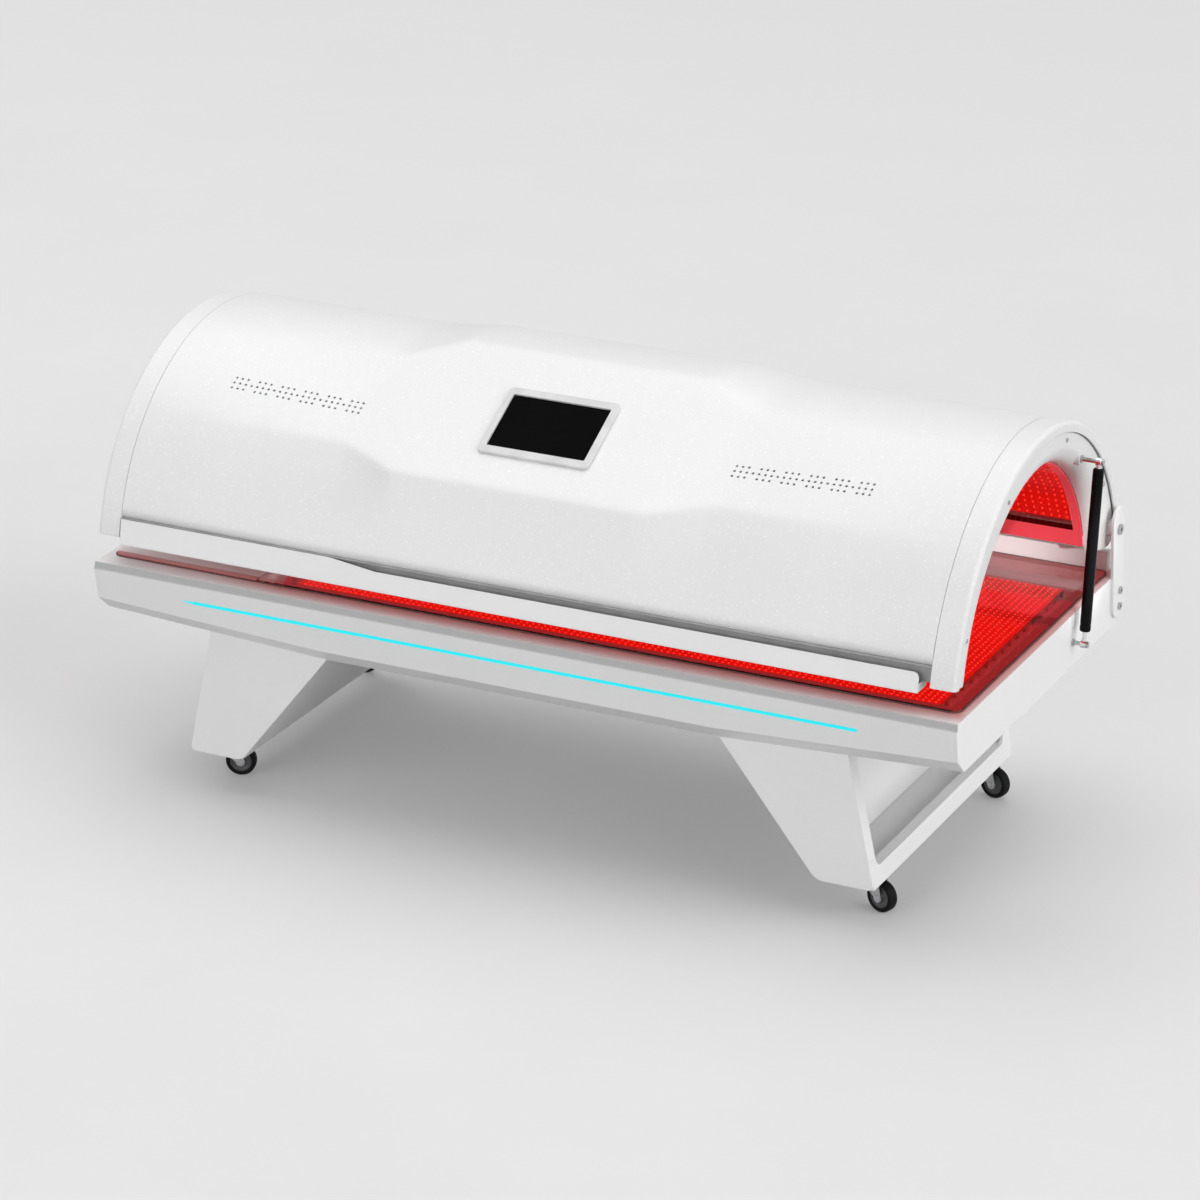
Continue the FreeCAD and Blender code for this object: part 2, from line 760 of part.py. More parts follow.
def make_rocker():
    high = ROCKER_H / 2
    back = -HALF + ROCKER_BACK
    face = -HALF - ROCKER_PROUD
    outline = [(back, ROCKER_Z - high), (back, ROCKER_Z + high), (face, ROCKER_Z + high),
               (face + ROCKER_DIP, ROCKER_Z), (face, ROCKER_Z - high)]
    key = plate_xz(outline, INLET_Y - ROCKER_W / 2, INLET_Y + ROCKER_W / 2)
    key.rotate(V(ROCKER_X, INLET_Y, ROCKER_Z), Y_AXIS, -ROCKER_TILT)
    return join([key, rocker_pin(0.0, 0.0)])


# Hinge brackets, bolts and strut studs at both ends.
BRACKET_LOW = (PIVOT_Y + BRACKET_LOW_BACK, FACE_TOP_Z - BRACKET_LOW_DROP)
BRACKET_BOLTS = [(PIVOT_Y + BOLT_BACK, FACE_TOP_Z - drop) for drop in BOLT_DROPS]


def capsule(p0, p1, radius, x0, x1):
    dy = p1[0] - p0[0]
    dz = p1[1] - p0[1]
    length = math.hypot(dy, dz)
    ny = -dz / length * radius
    nz = dy / length * radius
    a = V(x0, p0[0] + ny, p0[1] + nz)
    b = V(x0, p1[0] + ny, p1[1] + nz)
    c = V(x0, p1[0] - ny, p1[1] - nz)
    d = V(x0, p0[0] - ny, p0[1] - nz)
    uy = dy / length * radius
    uz = dz / length * radius
    far = V(x0, p1[0] + uy, p1[1] + uz)
    near = V(x0, p0[0] - uy, p0[1] - uz)
    wire = Part.Wire([line(a, b), arc(b, far, c), line(c, d), arc(d, near, a)])
    return Part.Face(wire).extrude(V(x1 - x0, 0, 0))


def make_bracket():
    plate = capsule(BRACKET_LOW, (PIVOT_Y, PIVOT_Z + BRACKET_HEAD), BRACKET_R, HALF, HALF + BRACKET_T)
    outer = [e for e in plate.Edges if abs(e.CenterOfMass.x - HALF - BRACKET_T) < SAME]
    plate = plate.makeFillet(BRACKET_ROUND, outer)
    bore = BRACKET_T + 2 * CUT_PAST
    holes = [rod(HALF - CUT_PAST, PIVOT_Y, PIVOT_Z, X_AXIS, PIN_D / 2 + RUN_FIT, bore)]
    for y, z in BRACKET_BOLTS:
        holes.append(rod(HALF - CUT_PAST, y, z, X_AXIS, BOLT_R + SCREW_FIT, bore))
    return plate.cut(holes)


PIN_IN = COVER_BACK - PIN_BEHIND


def make_hinge_bolts():
    face = HALF + BRACKET_T
    pin = rod(PIN_IN, PIVOT_Y, PIVOT_Z, X_AXIS, PIN_D / 2, face - PIN_IN)
    head = rod(face, PIVOT_Y, PIVOT_Z, X_AXIS, PIN_HEAD_R, PIN_HEAD_T)
    key = hexagon(face + PIN_HEAD_T - PIN_KEY_DEPTH, PIVOT_Y, PIVOT_Z, PIN_KEY_R, CUT_PAST)
    bolts = [join([pin, head]).cut(key)]
    start = HALF - END_PANEL_T - BOLT_PAST
    for y, z in BRACKET_BOLTS:
        shank = rod(start, y, z, X_AXIS, BOLT_R, face - start)
        cap = rod(face, y, z, X_AXIS, BOLT_HEAD_R, BOLT_HEAD_T)
        nut = rod(HALF - END_PANEL_T - NUT_T, y, z, X_AXIS, NUT_R, NUT_T)
        key = hexagon(face + BOLT_HEAD_T - BOLT_KEY_DEPTH, y, z, BOLT_KEY_R, CUT_PAST)
        bolts.append(join([shank, cap, nut]).cut(key))
    both = bolts + [mirror_x(b) for b in bolts]
    return Part.makeCompound(both)


def hexagon(x, y, z, radius, length):
    points = []
    for i in range(6):
        a = math.tau * i / 6
        points.append((y + radius * math.cos(a), z + radius * math.sin(a)))
    return plate_yz(points, x, x + length)


def stud(face, y, z, hold):
    end = STRUT_X + EYE_W / 2 + MOVE_GAP
    flange = rod(face, y, z, X_AXIS, STUD_FLANGE_R, STUD_FLANGE_T)
    shank = rod(face, y, z, X_AXIS, STUD_R, end - face)
    root = rod(face - hold, y, z, X_AXIS, BOLT_R, hold)
    cap = rod(end, y, z, X_AXIS, STUD_CAP_R, STUD_CAP_T)
    return join([flange, shank, root, cap])


def make_lower_studs():
    nut = rod(HALF - END_PANEL_T - STUD_NUT_T, STRUT_LOW_Y, STRUT_LOW_Z, X_AXIS, STUD_NUT_R, STUD_NUT_T)
    right = join([stud(HALF, STRUT_LOW_Y, STRUT_LOW_Z, END_PANEL_T + STUD_ROOT), nut])
    return Part.makeCompound([right, mirror_x(right)])


STUD_BOSS_X = COVER_X + STUD_BOSS_PROUD


def make_upper_studs():
    right = stud(STUD_BOSS_X, STRUT_TOP_Y, STRUT_TOP_Z, TOP_STUD_ROOT)
    return Part.makeCompound([right, mirror_x(right)])


# Gas struts: the cylinder turns on the canopy's stud, the rod on the base's stud, and they telescope.
STRUT_DY = STRUT_TOP_Y - STRUT_LOW_Y
STRUT_DZ = STRUT_TOP_Z - STRUT_LOW_Z
STRUT_LENGTH = math.hypot(STRUT_DY, STRUT_DZ)
BORE_R = STRUT_D / 2 - STRUT_WALL


def strut_place(shape):
    lean = math.degrees(math.atan2(-STRUT_DY, STRUT_DZ))
    shape.rotate(V(0, 0, 0), X_AXIS, lean)
    shape.translate(V(STRUT_X, STRUT_LOW_Y, STRUT_LOW_Z))
    return shape


def strut_eye(at):
    return rod(-EYE_W / 2, 0, at, X_AXIS, EYE_R, EYE_W)


def eye_bore(at):
    return rod(-EYE_W, 0, at, X_AXIS, STUD_R + RUN_FIT, 2 * EYE_W)


def make_strut_cylinder():
    top = STRUT_LENGTH - CYLINDER_TOP
    bore_low = GLAND_AT + GLAND_L
    body = rod(0, 0, GLAND_AT, Z_AXIS, STRUT_D / 2, top - GLAND_AT)
    body = round_edges(body, STRUT_ROUND, lambda e: isinstance(e.Curve, Part.Circle))
    bore = rod(0, 0, bore_low, Z_AXIS, BORE_R, top - bore_low - STRUT_PLUG)
    gland = rod(0, 0, GLAND_AT - CUT_PAST, Z_AXIS, ROD_D / 2 + MOVE_GAP, GLAND_L + 2 * CUT_PAST)
    neck = rod(0, 0, top - NECK_SINK, Z_AXIS, NECK_R, CYLINDER_TOP)
    shape = join([body, strut_eye(STRUT_LENGTH), neck]).cut([bore, gland])
    return strut_place(shape.cut(eye_bore(STRUT_LENGTH)))


def make_strut_rod():
    stem = rod(0, 0, ROD_FROM_EYE, Z_AXIS, ROD_D / 2, ROD_LENGTH)
    piston = rod(0, 0, ROD_FROM_EYE + ROD_LENGTH - PISTON_L, Z_AXIS, BORE_R - MOVE_GAP, PISTON_L)
    shape = join([stem, piston, strut_eye(0.0)])
    return strut_place(shape.cut(eye_bore(0.0)))


# Legs: two folded plates, a sloping web between them and a foot channel that runs up into the plates' lips.
PLATE_Y = BASE_DEPTH / 2 - FACE_LEAN * (FACE_HEIGHT + KEEL_DROP) - CHAMFER_Y - LEG_SET_IN
REAR_PLATE_Y = PLATE_Y - LEG_REAR_IN
SPAN_FRONT = -PLATE_Y + PLATE_T
SPAN_REAR = REAR_PLATE_Y - PLATE_T
LEG_LEAN = (LEG_FOOT_OUT - LEG_TOP_OUT) / (keel_z(LEG_TOP_OUT) - LEG_Z)
BAR_TOP = LEG_Z + FOOT_H


def leg_outline():
    return [(KEEL_HALF, keel_z(KEEL_HALF)), (LEG_TOP_OUT, keel_z(LEG_TOP_OUT)),
            (LEG_FOOT_OUT, LEG_Z), (LEG_FOOT_IN, LEG_Z)]


def outer_edge(z):
    return LEG_FOOT_OUT - LEG_LEAN * (z - LEG_Z), z


def band(p0, p1, thick, y0, y1, inward):
    dx = p1[0] - p0[0]
    dz = p1[1] - p0[1]
    length = math.hypot(dx, dz)
    nx = -dz / length * thick * inward
    nz = dx / length * thick * inward
    points = [p0, p1, (p1[0] + nx, p1[1] + nz), (p0[0] + nx, p0[1] + nz)]
    return plate_xz(points, y0, y1)


def round_corner(plate, corner, radius):
    return round_edges(plate, radius, lambda e: along(e, Y_AXIS) and abs(e.CenterOfMass.x - corner[0]) < SAME)


def make_leg_front():
    top_in, top_out, foot_out, foot_in = leg_outline()
    plate = plate_xz([top_in, top_out, foot_out, foot_in], -PLATE_Y, SPAN_FRONT)
    plate = round_corner(plate, foot_in, FOOT_ROUND_IN)
    plate = round_corner(plate, foot_out, FOOT_ROUND_OUT)
    lip_end = outer_edge(BAR_TOP + FRAME_ROUND + SEAT_GAP)
    lip = band(top_out, lip_end, WEB_T, SPAN_FRONT, SPAN_FRONT + PLATE_LIP, -1)
    tab = band(top_in, top_out, PLATE_T, SPAN_FRONT, SPAN_FRONT + PLATE_TAB, -1)
    return join([plate, lip, tab])


def make_leg_rear():
    plate = mirror_y(make_leg_front())
    plate.translate(V(0, -LEG_REAR_IN, 0))
    return plate


def make_leg_web():
    top_in, top_out, foot_out, foot_in = leg_outline()
    slope = (foot_in[0] - top_in[0]) / (top_in[1] - foot_in[1])
    low = (foot_in[0] - slope * WEB_T, LEG_Z + WEB_T)
    tab = PLATE_TAB + SEAM
    above = [(0, top_in[1]), top_in, top_out, (top_out[0], BASE_TOP), (0, BASE_TOP)]
    above = plate_xz(above, SPAN_FRONT, SPAN_REAR)
    notches = []
    for y in (SPAN_FRONT, SPAN_REAR - tab):
        notches.append(band(top_in, top_out, PLATE_T + SEAT_GAP, y, y + tab, -1))
    sheet = band(low, top_in, WEB_T, SPAN_FRONT, SPAN_REAR, -1).cut([above] + notches)
    end = (top_in[0] + WEB_TAB, keel_z(top_in[0] + WEB_TAB))
    flange = band(top_in, end, PLATE_T, SPAN_FRONT + tab, SPAN_REAR - tab, -1)
    return join([sheet, flange])


def make_leg_foot():
    wall = band(outer_edge(LEG_Z), outer_edge(BAR_TOP + FRAME_ROUND), FOOT_WALL, SPAN_FRONT, SPAN_REAR, 1)
    wall = wall.common(box(0, HALF, SPAN_FRONT, SPAN_REAR, LEG_Z, BASE_TOP))
    opening = box(0, HALF, SPAN_FRONT + PLATE_LIP, SPAN_REAR - PLATE_LIP, BAR_TOP, BASE_TOP)

    def low(edge):
        return along(edge, X_AXIS) and abs(edge.CenterOfMass.z - BAR_TOP) < SAME

    opening = round_edges(opening, FRAME_ROUND, low)
    pan = box(LEG_FOOT_IN, LEG_FOOT_OUT - WEB_T, SPAN_FRONT, SPAN_REAR, LEG_Z, LEG_Z + WEB_T)
    edge = outer_edge(BAR_TOP)[0] - WEB_T
    rim = box(edge - FOOT_RIM, edge, SPAN_FRONT, SPAN_REAR, BAR_TOP - WEB_T, BAR_TOP)
    return join([wall.cut(opening), pan, rim])


# Castors, each drawn with its wheel trailing along +X: fixed plate, swivel fork, wheel and brake pedal.
AXLE_Z = WHEEL_D / 2
FORK_IN = WHEEL_W / 2 + HUB_PROUD + MOVE_GAP
FORK_OUT = FORK_IN + FORK_T
PEDAL_X = -PEDAL_BACK
PEDAL_Z = CROWN_Z - PEDAL_DROP
CASTOR_FRONT = -PLATE_Y + CASTOR_FROM_FRONT
CASTOR_REAR = REAR_PLATE_Y - CASTOR_FROM_REAR


def castor_at(shape, spot, turn):
    copy = shape.copy()
    copy.rotate(V(0, 0, 0), Z_AXIS, turn)
    copy.translate(V(spot[0], spot[1], 0))
    return copy


def castor_spots():
    return {"fl": (-CASTOR_X, CASTOR_FRONT), "fr": (CASTOR_X, CASTOR_FRONT),
            "rl": (-CASTOR_X, CASTOR_REAR), "rr": (CASTOR_X, CASTOR_REAR)}


def make_castor_plates():
    plate = rounded_slab(-MOUNT_X / 2, MOUNT_X / 2, -MOUNT_Y / 2, MOUNT_Y / 2, LEG_Z - MOUNT_T, LEG_Z,
                         MOUNT_CORNER)
    race_z = CROWN_Z + CROWN_T + MOVE_GAP
    race = rod(0, 0, race_z, Z_AXIS, CROWN_R + RACE_PROUD, LEG_Z - MOUNT_T - race_z)
    head_z = CROWN_Z - MOVE_GAP - KING_HEAD_T
    pin = rod(0, 0, head_z, Z_AXIS, KING_R, LEG_Z - head_z)
    head = rod(0, 0, head_z, Z_AXIS, KING_HEAD_R, KING_HEAD_T)
    one = join([plate, race, pin, head])
    return Part.makeCompound([castor_at(one, spot, 0.0) for spot in castor_spots().values()])


def make_fork():
    top = CROWN_Z + CROWN_T
    outline = [(-FORK_BACK, top), (FORK_FRONT, top), (TRAIL + FORK_EYE_R, AXLE_Z),
               (TRAIL - FORK_EYE_R, AXLE_Z),
               (-FORK_HEEL, PEDAL_Z - FORK_HEEL_DROP)]
    pieces = [rod(0, 0, CROWN_Z, Z_AXIS, CROWN_R, CROWN_T)]
    for y in (-FORK_OUT, FORK_IN):
        pieces.append(plate_xz(outline, y, y + FORK_T))
        pieces.append(rod(TRAIL, y, AXLE_Z, Y_AXIS, FORK_EYE_R, FORK_T))
    fork = join(pieces)
    fork = fork.cut([rod(0, 0, CROWN_Z - CUT_PAST, Z_AXIS, KING_R + RUN_FIT, CROWN_T + 2 * CUT_PAST),
                     rod(PEDAL_X, -FORK_OUT - SEAM, PEDAL_Z, Y_AXIS, PEDAL_PIN_R + RUN_FIT,
                         2 * (FORK_OUT + SEAM))])
    axle = rod(TRAIL, -FORK_OUT - SEAM, AXLE_Z, Y_AXIS, AXLE_R, 2 * (FORK_OUT + SEAM))
    heads = [rod(TRAIL, y, AXLE_Z, Y_AXIS, AXLE_HEAD_R, AXLE_HEAD_T)
             for y in (-FORK_OUT - AXLE_HEAD_T, FORK_OUT)]
    return join([fork, axle] + heads)


def make_wheel():
    tyre = rod(TRAIL, -WHEEL_W / 2, AXLE_Z, Y_AXIS, WHEEL_D / 2, WHEEL_W)
    tyre = round_edges(tyre, WHEEL_W / 4, lambda e: isinstance(e.Curve, Part.Circle))
    hub = rod(TRAIL, -WHEEL_W / 2 - HUB_PROUD, AXLE_Z, Y_AXIS, HUB_R, WHEEL_W + 2 * HUB_PROUD)
    wheel = join([tyre, hub])
    return wheel.cut(rod(TRAIL, -WHEEL_W, AXLE_Z, Y_AXIS, AXLE_R + RUN_FIT, 2 * WHEEL_W))


def make_pedal():
    pin = rod(PEDAL_X, -FORK_OUT, PEDAL_Z, Y_AXIS, PEDAL_PIN_R, 2 * FORK_OUT)
    width = FORK_IN - MOVE_GAP
    hub = rod(PEDAL_X, -width, PEDAL_Z, Y_AXIS, PEDAL_HUB_R, 2 * width)
    root = PEDAL_X - PEDAL_ROOT
    tip = PEDAL_X - PEDAL_REACH
    tip_z = PEDAL_Z + PEDAL_TOP - PEDAL_FALL
    outline = [(root, PEDAL_Z + PEDAL_TOP), (tip, tip_z), (tip, tip_z - PEDAL_TIP),
               (root, PEDAL_Z - PEDAL_UNDER)]
    return join([pin, hub, plate_xz(outline, -width, width)])


# Canopy shell: one skin lofted through round end sections and a wider, faceted middle.
def facet_angle(radius):
    return math.degrees(math.acos(FACET_OFFSET / radius))


def shell_marks(kind):
    """Turn from the top and radius of one section, front to rear: the ends of four arcs and their middles."""
    if kind == "pod":
        low_r = CANOPY_R + CANOPY_RAISE - POD_LOW
        high_r = CANOPY_R + CANOPY_RAISE
        waist_r = CANOPY_R - POD_WAIST
        facet_r = FACET_OFFSET + POD_CROWN
        back = [(POD_CROWN_TURN, high_r), (BACK_TURN, high_r), (HIP_TURN, high_r - POD_HIP)]
    else:
        low_r = CANOPY_R - FACET_LOW
        high_r = CANOPY_R - FACET_HIGH
        waist_r = CANOPY_R - WAIST
        facet_r = FACET_OFFSET + FACET_CROWN
        back = [(turn, CANOPY_R + BACK_RISE) for turn in (CROWN_TURN, BACK_TURN, HIP_TURN)]
    low = FACET_TILT + facet_angle(low_r)
    high = FACET_TILT - facet_angle(high_r)
    front = [(SHELL_ANGLE, CANOPY_R), ((SHELL_ANGLE + low) / 2, waist_r), (low, low_r),
             (FACET_TILT, facet_r), (high, high_r)]
    section = front + back + [(-REAR_ANGLE, CANOPY_R)]
    if kind == "round":
        return [(turn, CANOPY_R) for turn, radius in section]
    return section


def shell_stations():
    run = POD_HALF + POD_RUN
    return [(-SHELL_HALF, "round"), (POD_X - run, "flat"), (POD_X - POD_HALF, "pod"),
            (POD_X + POD_HALF, "pod"),
            (POD_X + run, "flat"), (SHELL_HALF, "round")]


def shell_wire(x, kind, wall):
    rows = []
    for inset in (0.0, wall):
        rows.append([V(x, *polar(a, r - inset)) for a, r in shell_marks(kind)])
    outer, inner = rows
    last = len(outer) - 1
    edges = [arc(outer[i], outer[i + 1], outer[i + 2]) for i in range(0, last, 2)]
    edges.append(line(outer[last], inner[last]))
    edges += [arc(inner[i], inner[i - 1], inner[i - 2]) for i in range(last, 0, -2)]
    edges.append(line(inner[0], outer[0]))
    return Part.Wire(edges)


def facet_place(shape):
    shape.rotate(V(0, 0, 0), X_AXIS, FACET_TILT)
    shape.translate(V(POD_X, 0, AXIS_Z))
    return shape


def vent_spots():
    spots = []
    for i in range(VENT_COLS):
        rows = (0,) if i % VENT_GROUP == VENT_GROUP - 1 else (-1, 0, 1)
        for j in rows:
            spots.append(((i - (VENT_COLS - 1) / 2) * VENT_PITCH, -VENT_DOWN + j * VENT_PITCH))
    return spots


def make_shell():
    wires = [shell_wire(x, kind, SHELL_T) for x, kind in shell_stations()]
    shell = Part.makeLoft(wires, True, True)
    half_w = GLASS_W / 2 + SCREEN_ROOM
    half_h = GLASS_H / 2 + SCREEN_ROOM
    low = FACET_OFFSET - DRILL
    cuts = [facet_place(box(-half_w, half_w, -half_h - SCREEN_DOWN, half_h - SCREEN_DOWN, low,
                            FACET_OFFSET + DRILL))]
    for side in (-1, 1):
        for x, y in vent_spots():
            cuts.append(facet_place(rod(side * (VENT_X + x), y, low, Z_AXIS, VENT_D / 2, 2 * DRILL)))
    return shell.cut(cuts)


# End rings, covers and liner: sections turned about the barrel's axis.
RING_FLANGE_R = CANOPY_R - RING_FLANGE_IN
FLANGE_END = math.degrees(SEAT_GAP / CANOPY_R)
COVER_SCREW_R = CANOPY_R - COVER_SCREW_IN


def ring_outline():
    p = section_point
    r = CANOPY_R
    x1 = CANOPY_HALF
    k = RING_SOFT * (1 - MID_ROUND)
    return [line(p(RING_IN, r), p(x1 - RING_SOFT, r)),
            arc(p(x1 - RING_SOFT, r), p(x1 - k, r - k), p(x1, r - RING_SOFT)),
            line(p(x1, r - RING_SOFT), p(x1, LIP_R))]


def make_ring():
    p = section_point
    r = CANOPY_R
    x1 = CANOPY_HALF
    w = RING_WALL
    soft = RING_SOFT
    k = (soft - w) * (1 - MID_ROUND)
    wall = ring_outline() + [line(p(x1, LIP_R), p(x1 - w, LIP_R)),
                             line(p(x1 - w, LIP_R), p(x1 - w, r - soft)),
                             arc(p(x1 - w, r - soft), p(x1 - w - k, r - w - k), p(x1 - soft, r - w)),
                             line(p(x1 - soft, r - w), p(RING_IN, r - w)),
                             line(p(RING_IN, r - w), p(RING_IN, r))]
    end = ring_outline() + [line(p(x1, LIP_R), p(RING_IN, LIP_R)), line(p(RING_IN, LIP_R), p(RING_IN, r))]
    pieces = [swept(Part.Wire(wall), -REAR_ANGLE, FRONT_ANGLE),
              swept(Part.Wire(end), FRONT_ANGLE - RING_CAP, FRONT_ANGLE),
              swept(Part.Wire(end), -REAR_ANGLE, -REAR_ANGLE + RING_CAP)]
    short = RING_CAP + FLANGE_END
    for x in (RING_IN, COVER_BACK - w):
        flange = polygon([p(x, RING_FLANGE_R), p(x + w, RING_FLANGE_R), p(x + w, r - w), p(x, r - w)])
        pieces.append(swept(flange, -REAR_ANGLE + short, FRONT_ANGLE - short))
    shape = join(pieces)
    start = RING_IN - CUT_PAST
    holes = [rod(start, PIVOT_Y, PIVOT_Z, X_AXIS, HINGE_HOLE_R, COVER_BACK - start)]
    for a in COVER_SCREWS:
        y, z = polar(a, COVER_SCREW_R)
        holes.append(rod(COVER_BACK - w - CUT_PAST, y, z, X_AXIS, SCREW_R + SCREW_FIT, w + CUT_PAST))
    return shape.cut(holes)


def flare_edges(shift):
    p = section_point
    low = LINER_R + FLARE_STEP
    mid_x = FLARE_IN + (COVER_X - FLARE_IN - shift) * MID_ROUND
    mid_r = FLARE_R - (FLARE_R - low - shift) * MID_ROUND
    return p(COVER_X - shift, FLARE_R), p(mid_x, mid_r), p(FLARE_IN, low + shift)


def cover_wire(hollow):
    p = section_point
    a, b, c = flare_edges(0.0)
    rim = LIP_R - SEAM
    edges = [line(p(COVER_X, rim), a), arc(a, b, c)]
    if hollow:
        d, e, f = flare_edges(COVER_T)
        edges += [line(c, f), arc(f, e, d), line(d, p(COVER_BACK, rim)),
                  line(p(COVER_BACK, rim), p(COVER_X, rim))]
    else:
        edges += [line(c, p(FLARE_IN, rim)), line(p(FLARE_IN, rim), p(COVER_X, rim))]
    return Part.Wire(edges)


def make_cover():
    cover = join([swept(cover_wire(True), -REAR_ANGLE, FRONT_ANGLE),
                  swept(cover_wire(False), FRONT_ANGLE - RING_CAP, FRONT_ANGLE),
                  swept(cover_wire(False), -REAR_ANGLE, -REAR_ANGLE + RING_CAP)])
    hub = rod(COVER_BACK, PIVOT_Y, PIVOT_Z, X_AXIS, HINGE_HUB_R, HALF - COVER_BACK - SEAM)
    boss_x = FLARE_IN + STUD_BOSS_IN
    boss = rod(boss_x, STRUT_TOP_Y, STRUT_TOP_Z, X_AXIS, STUD_BOSS_R, STUD_BOSS_X - boss_x)
    cover = join([cover, hub, boss])
    reach = HALF - FLARE_IN + 2 * CUT_PAST
    holes = [rod(FLARE_IN - CUT_PAST, PIVOT_Y, PIVOT_Z, X_AXIS, PIN_D / 2 + RUN_FIT, reach),
             rod(FLARE_IN, STRUT_TOP_Y, STRUT_TOP_Z, X_AXIS, BOLT_R + SCREW_FIT, HALF - FLARE_IN)]
    for a in COVER_SCREWS:
        y, z = polar(a, COVER_SCREW_R)
        holes.append(rod(COVER_BACK - CUT_PAST, y, z, X_AXIS, SCREW_R + SCREW_FIT, COVER_T + 2 * CUT_PAST))
    return cover.cut(holes)


def make_screws():
    screws = []
    start = COVER_BACK - RING_WALL - SCREW_PAST
    top = COVER_X + SCREW_HEAD_T

    def at_top(edge):
        return isinstance(edge.Curve, Part.Circle) and abs(edge.CenterOfMass.x - top) < SAME

    for a in COVER_SCREWS:
        y, z = polar(a, COVER_SCREW_R)
        shank = rod(start, y, z, X_AXIS, SCREW_R, COVER_X - start)
        head = rod(COVER_X, y, z, X_AXIS, SCREW_HEAD_R, SCREW_HEAD_T)
        head = round_edges(head, SCREW_ROUND, at_top)
        one = join([shank, head]).cut(hexagon(top - SCREW_KEY_DEPTH, y, z, SCREW_KEY_R, CUT_PAST))
        screws += [one, mirror_x(one)]
    return Part.makeCompound(screws)


def make_liner():
    p = section_point
    wire = polygon([p(-LINER_HALF, LINER_R), p(LINER_HALF, LINER_R), p(LINER_HALF, LINER_R + LINER_T),
                    p(-LINER_HALF, LINER_R + LINER_T)])
    return swept(wire, -LINER_ANGLE, LINER_ANGLE)


CANOPY_BOARD_R = LINER_R + LINER_T + BOARD_GAP
CANOPY_BOARD_HALF = LINER_HALF - BOARD_END_IN
CANOPY_BOARD_W = 2 * CANOPY_BOARD_R * math.tan(math.radians(BOARD_STEP / 2)) - 2 * SEAT_GAP
RIB_IN = math.hypot(CANOPY_BOARD_R + BOARD_T, CANOPY_BOARD_W / 2) + SEAT_GAP


def make_canopy_boards():
    boards = []
    width = CANOPY_BOARD_W
    for i in range(CANOPY_BOARDS):
        a = (i - (CANOPY_BOARDS - 1) / 2) * BOARD_STEP
        board = box(-CANOPY_BOARD_HALF, CANOPY_BOARD_HALF, -width / 2, width / 2,
                    CANOPY_BOARD_R, CANOPY_BOARD_R + BOARD_T)
        board.rotate(V(0, 0, 0), X_AXIS, a)
        board.translate(AXIS_POINT)
        boards.append(board)
    return Part.makeCompound(boards)


# Canopy frame: arched ribs on long stringers, between a front beam and a rear beam with hinge blocks.
RIB_OUT = RIB_IN + RIB_H
END_RIB_OUT = RING_FLANGE_R + END_RIB_PAST
SHELL_EDGE_Y = polar(SHELL_ANGLE, CANOPY_R)[0]
SHELL_EDGE_Z = polar(SHELL_ANGLE, CANOPY_R - SHELL_T)[1]
RIB_ANGLE = math.degrees(math.acos((SHELL_EDGE_Z + RIB_END_LIFT - AXIS_Z) / RIB_OUT))
BEAM_FRONT = SHELL_EDGE_Y + GRIP_POCKET
BEAM_BACK = BEAM_FRONT + BEAM_W
BEAM_LOW = CANOPY_FRONT_Z + BEAM_LIFT
REAR_BEAM = (PIVOT_Y - REAR_BEAM_FRONT, PIVOT_Y + REAR_BEAM_BACK, PIVOT_Z - REAR_BEAM_LOW,
             PIVOT_Z + REAR_BEAM_HIGH)
BLOCK = (PIVOT_Y - REAR_BEAM_FRONT, PIVOT_Y + BLOCK_BACK, PIVOT_Z - BLOCK_H / 2, PIVOT_Z + BLOCK_H / 2)
BLOCK_IN = RING_IN - BLOCK_INSIDE
BLOCK_OUT = COVER_BACK - RING_WALL - BLOCK_GAP
FAN_SIDE = FAN_R + FAN_RIM


def rib(x0, inner, outer):
    p = section_point
    x1 = x0 + RIB_T
    wire = polygon([p(x0, inner), p(x1, inner), p(x1, outer), p(x0, outer)])
    back = LINER_R + LINER_T
    ends = [box(x0, x1, BEAM_BACK, -back, BEAM_LOW + RIB_TAB_IN, SHELL_EDGE_Z + RIB_TAB_UP),
            box(x0, x1, back, REAR_BEAM[0], REAR_BEAM[2] + RIB_TAB_IN, REAR_BEAM[3] - RIB_TAB_IN)]
    return [swept(wire, -RIB_ANGLE, RIB_ANGLE)] + ends


def hinge_blocks():
    block = box(BLOCK_IN, BLOCK_OUT, *BLOCK)
    return [block, mirror_x(block)]


def make_canopy_frame():
    pieces = []
    for x in (-POD_HALF, 0.0, POD_HALF):
        pieces += rib(POD_X + x - RIB_T / 2, RIB_IN, RIB_OUT)
    for x in (POD_X - VENT_X - FAN_SIDE - RIB_T, POD_X + VENT_X + FAN_SIDE):
        pieces += rib(x, RIB_IN, RIB_OUT)
    for x in (-RING_IN, RING_IN - RIB_T):
        pieces += rib(x, LINER_R + LINER_T, END_RIB_OUT)
    for a in STRINGER_ANGLES:
        low = RIB_IN + STRINGER_WALL
        tube = tube_x(-RING_IN, RING_IN, -STRINGER / 2, STRINGER / 2, low, low + STRINGER, STRINGER_WALL)
        tube.rotate(V(0, 0, 0), X_AXIS, a)
        tube.translate(AXIS_POINT)
        pieces.append(tube)
    rear = box(-RING_IN, RING_IN, *REAR_BEAM)
    return join(pieces).cut([rear] + hinge_blocks())


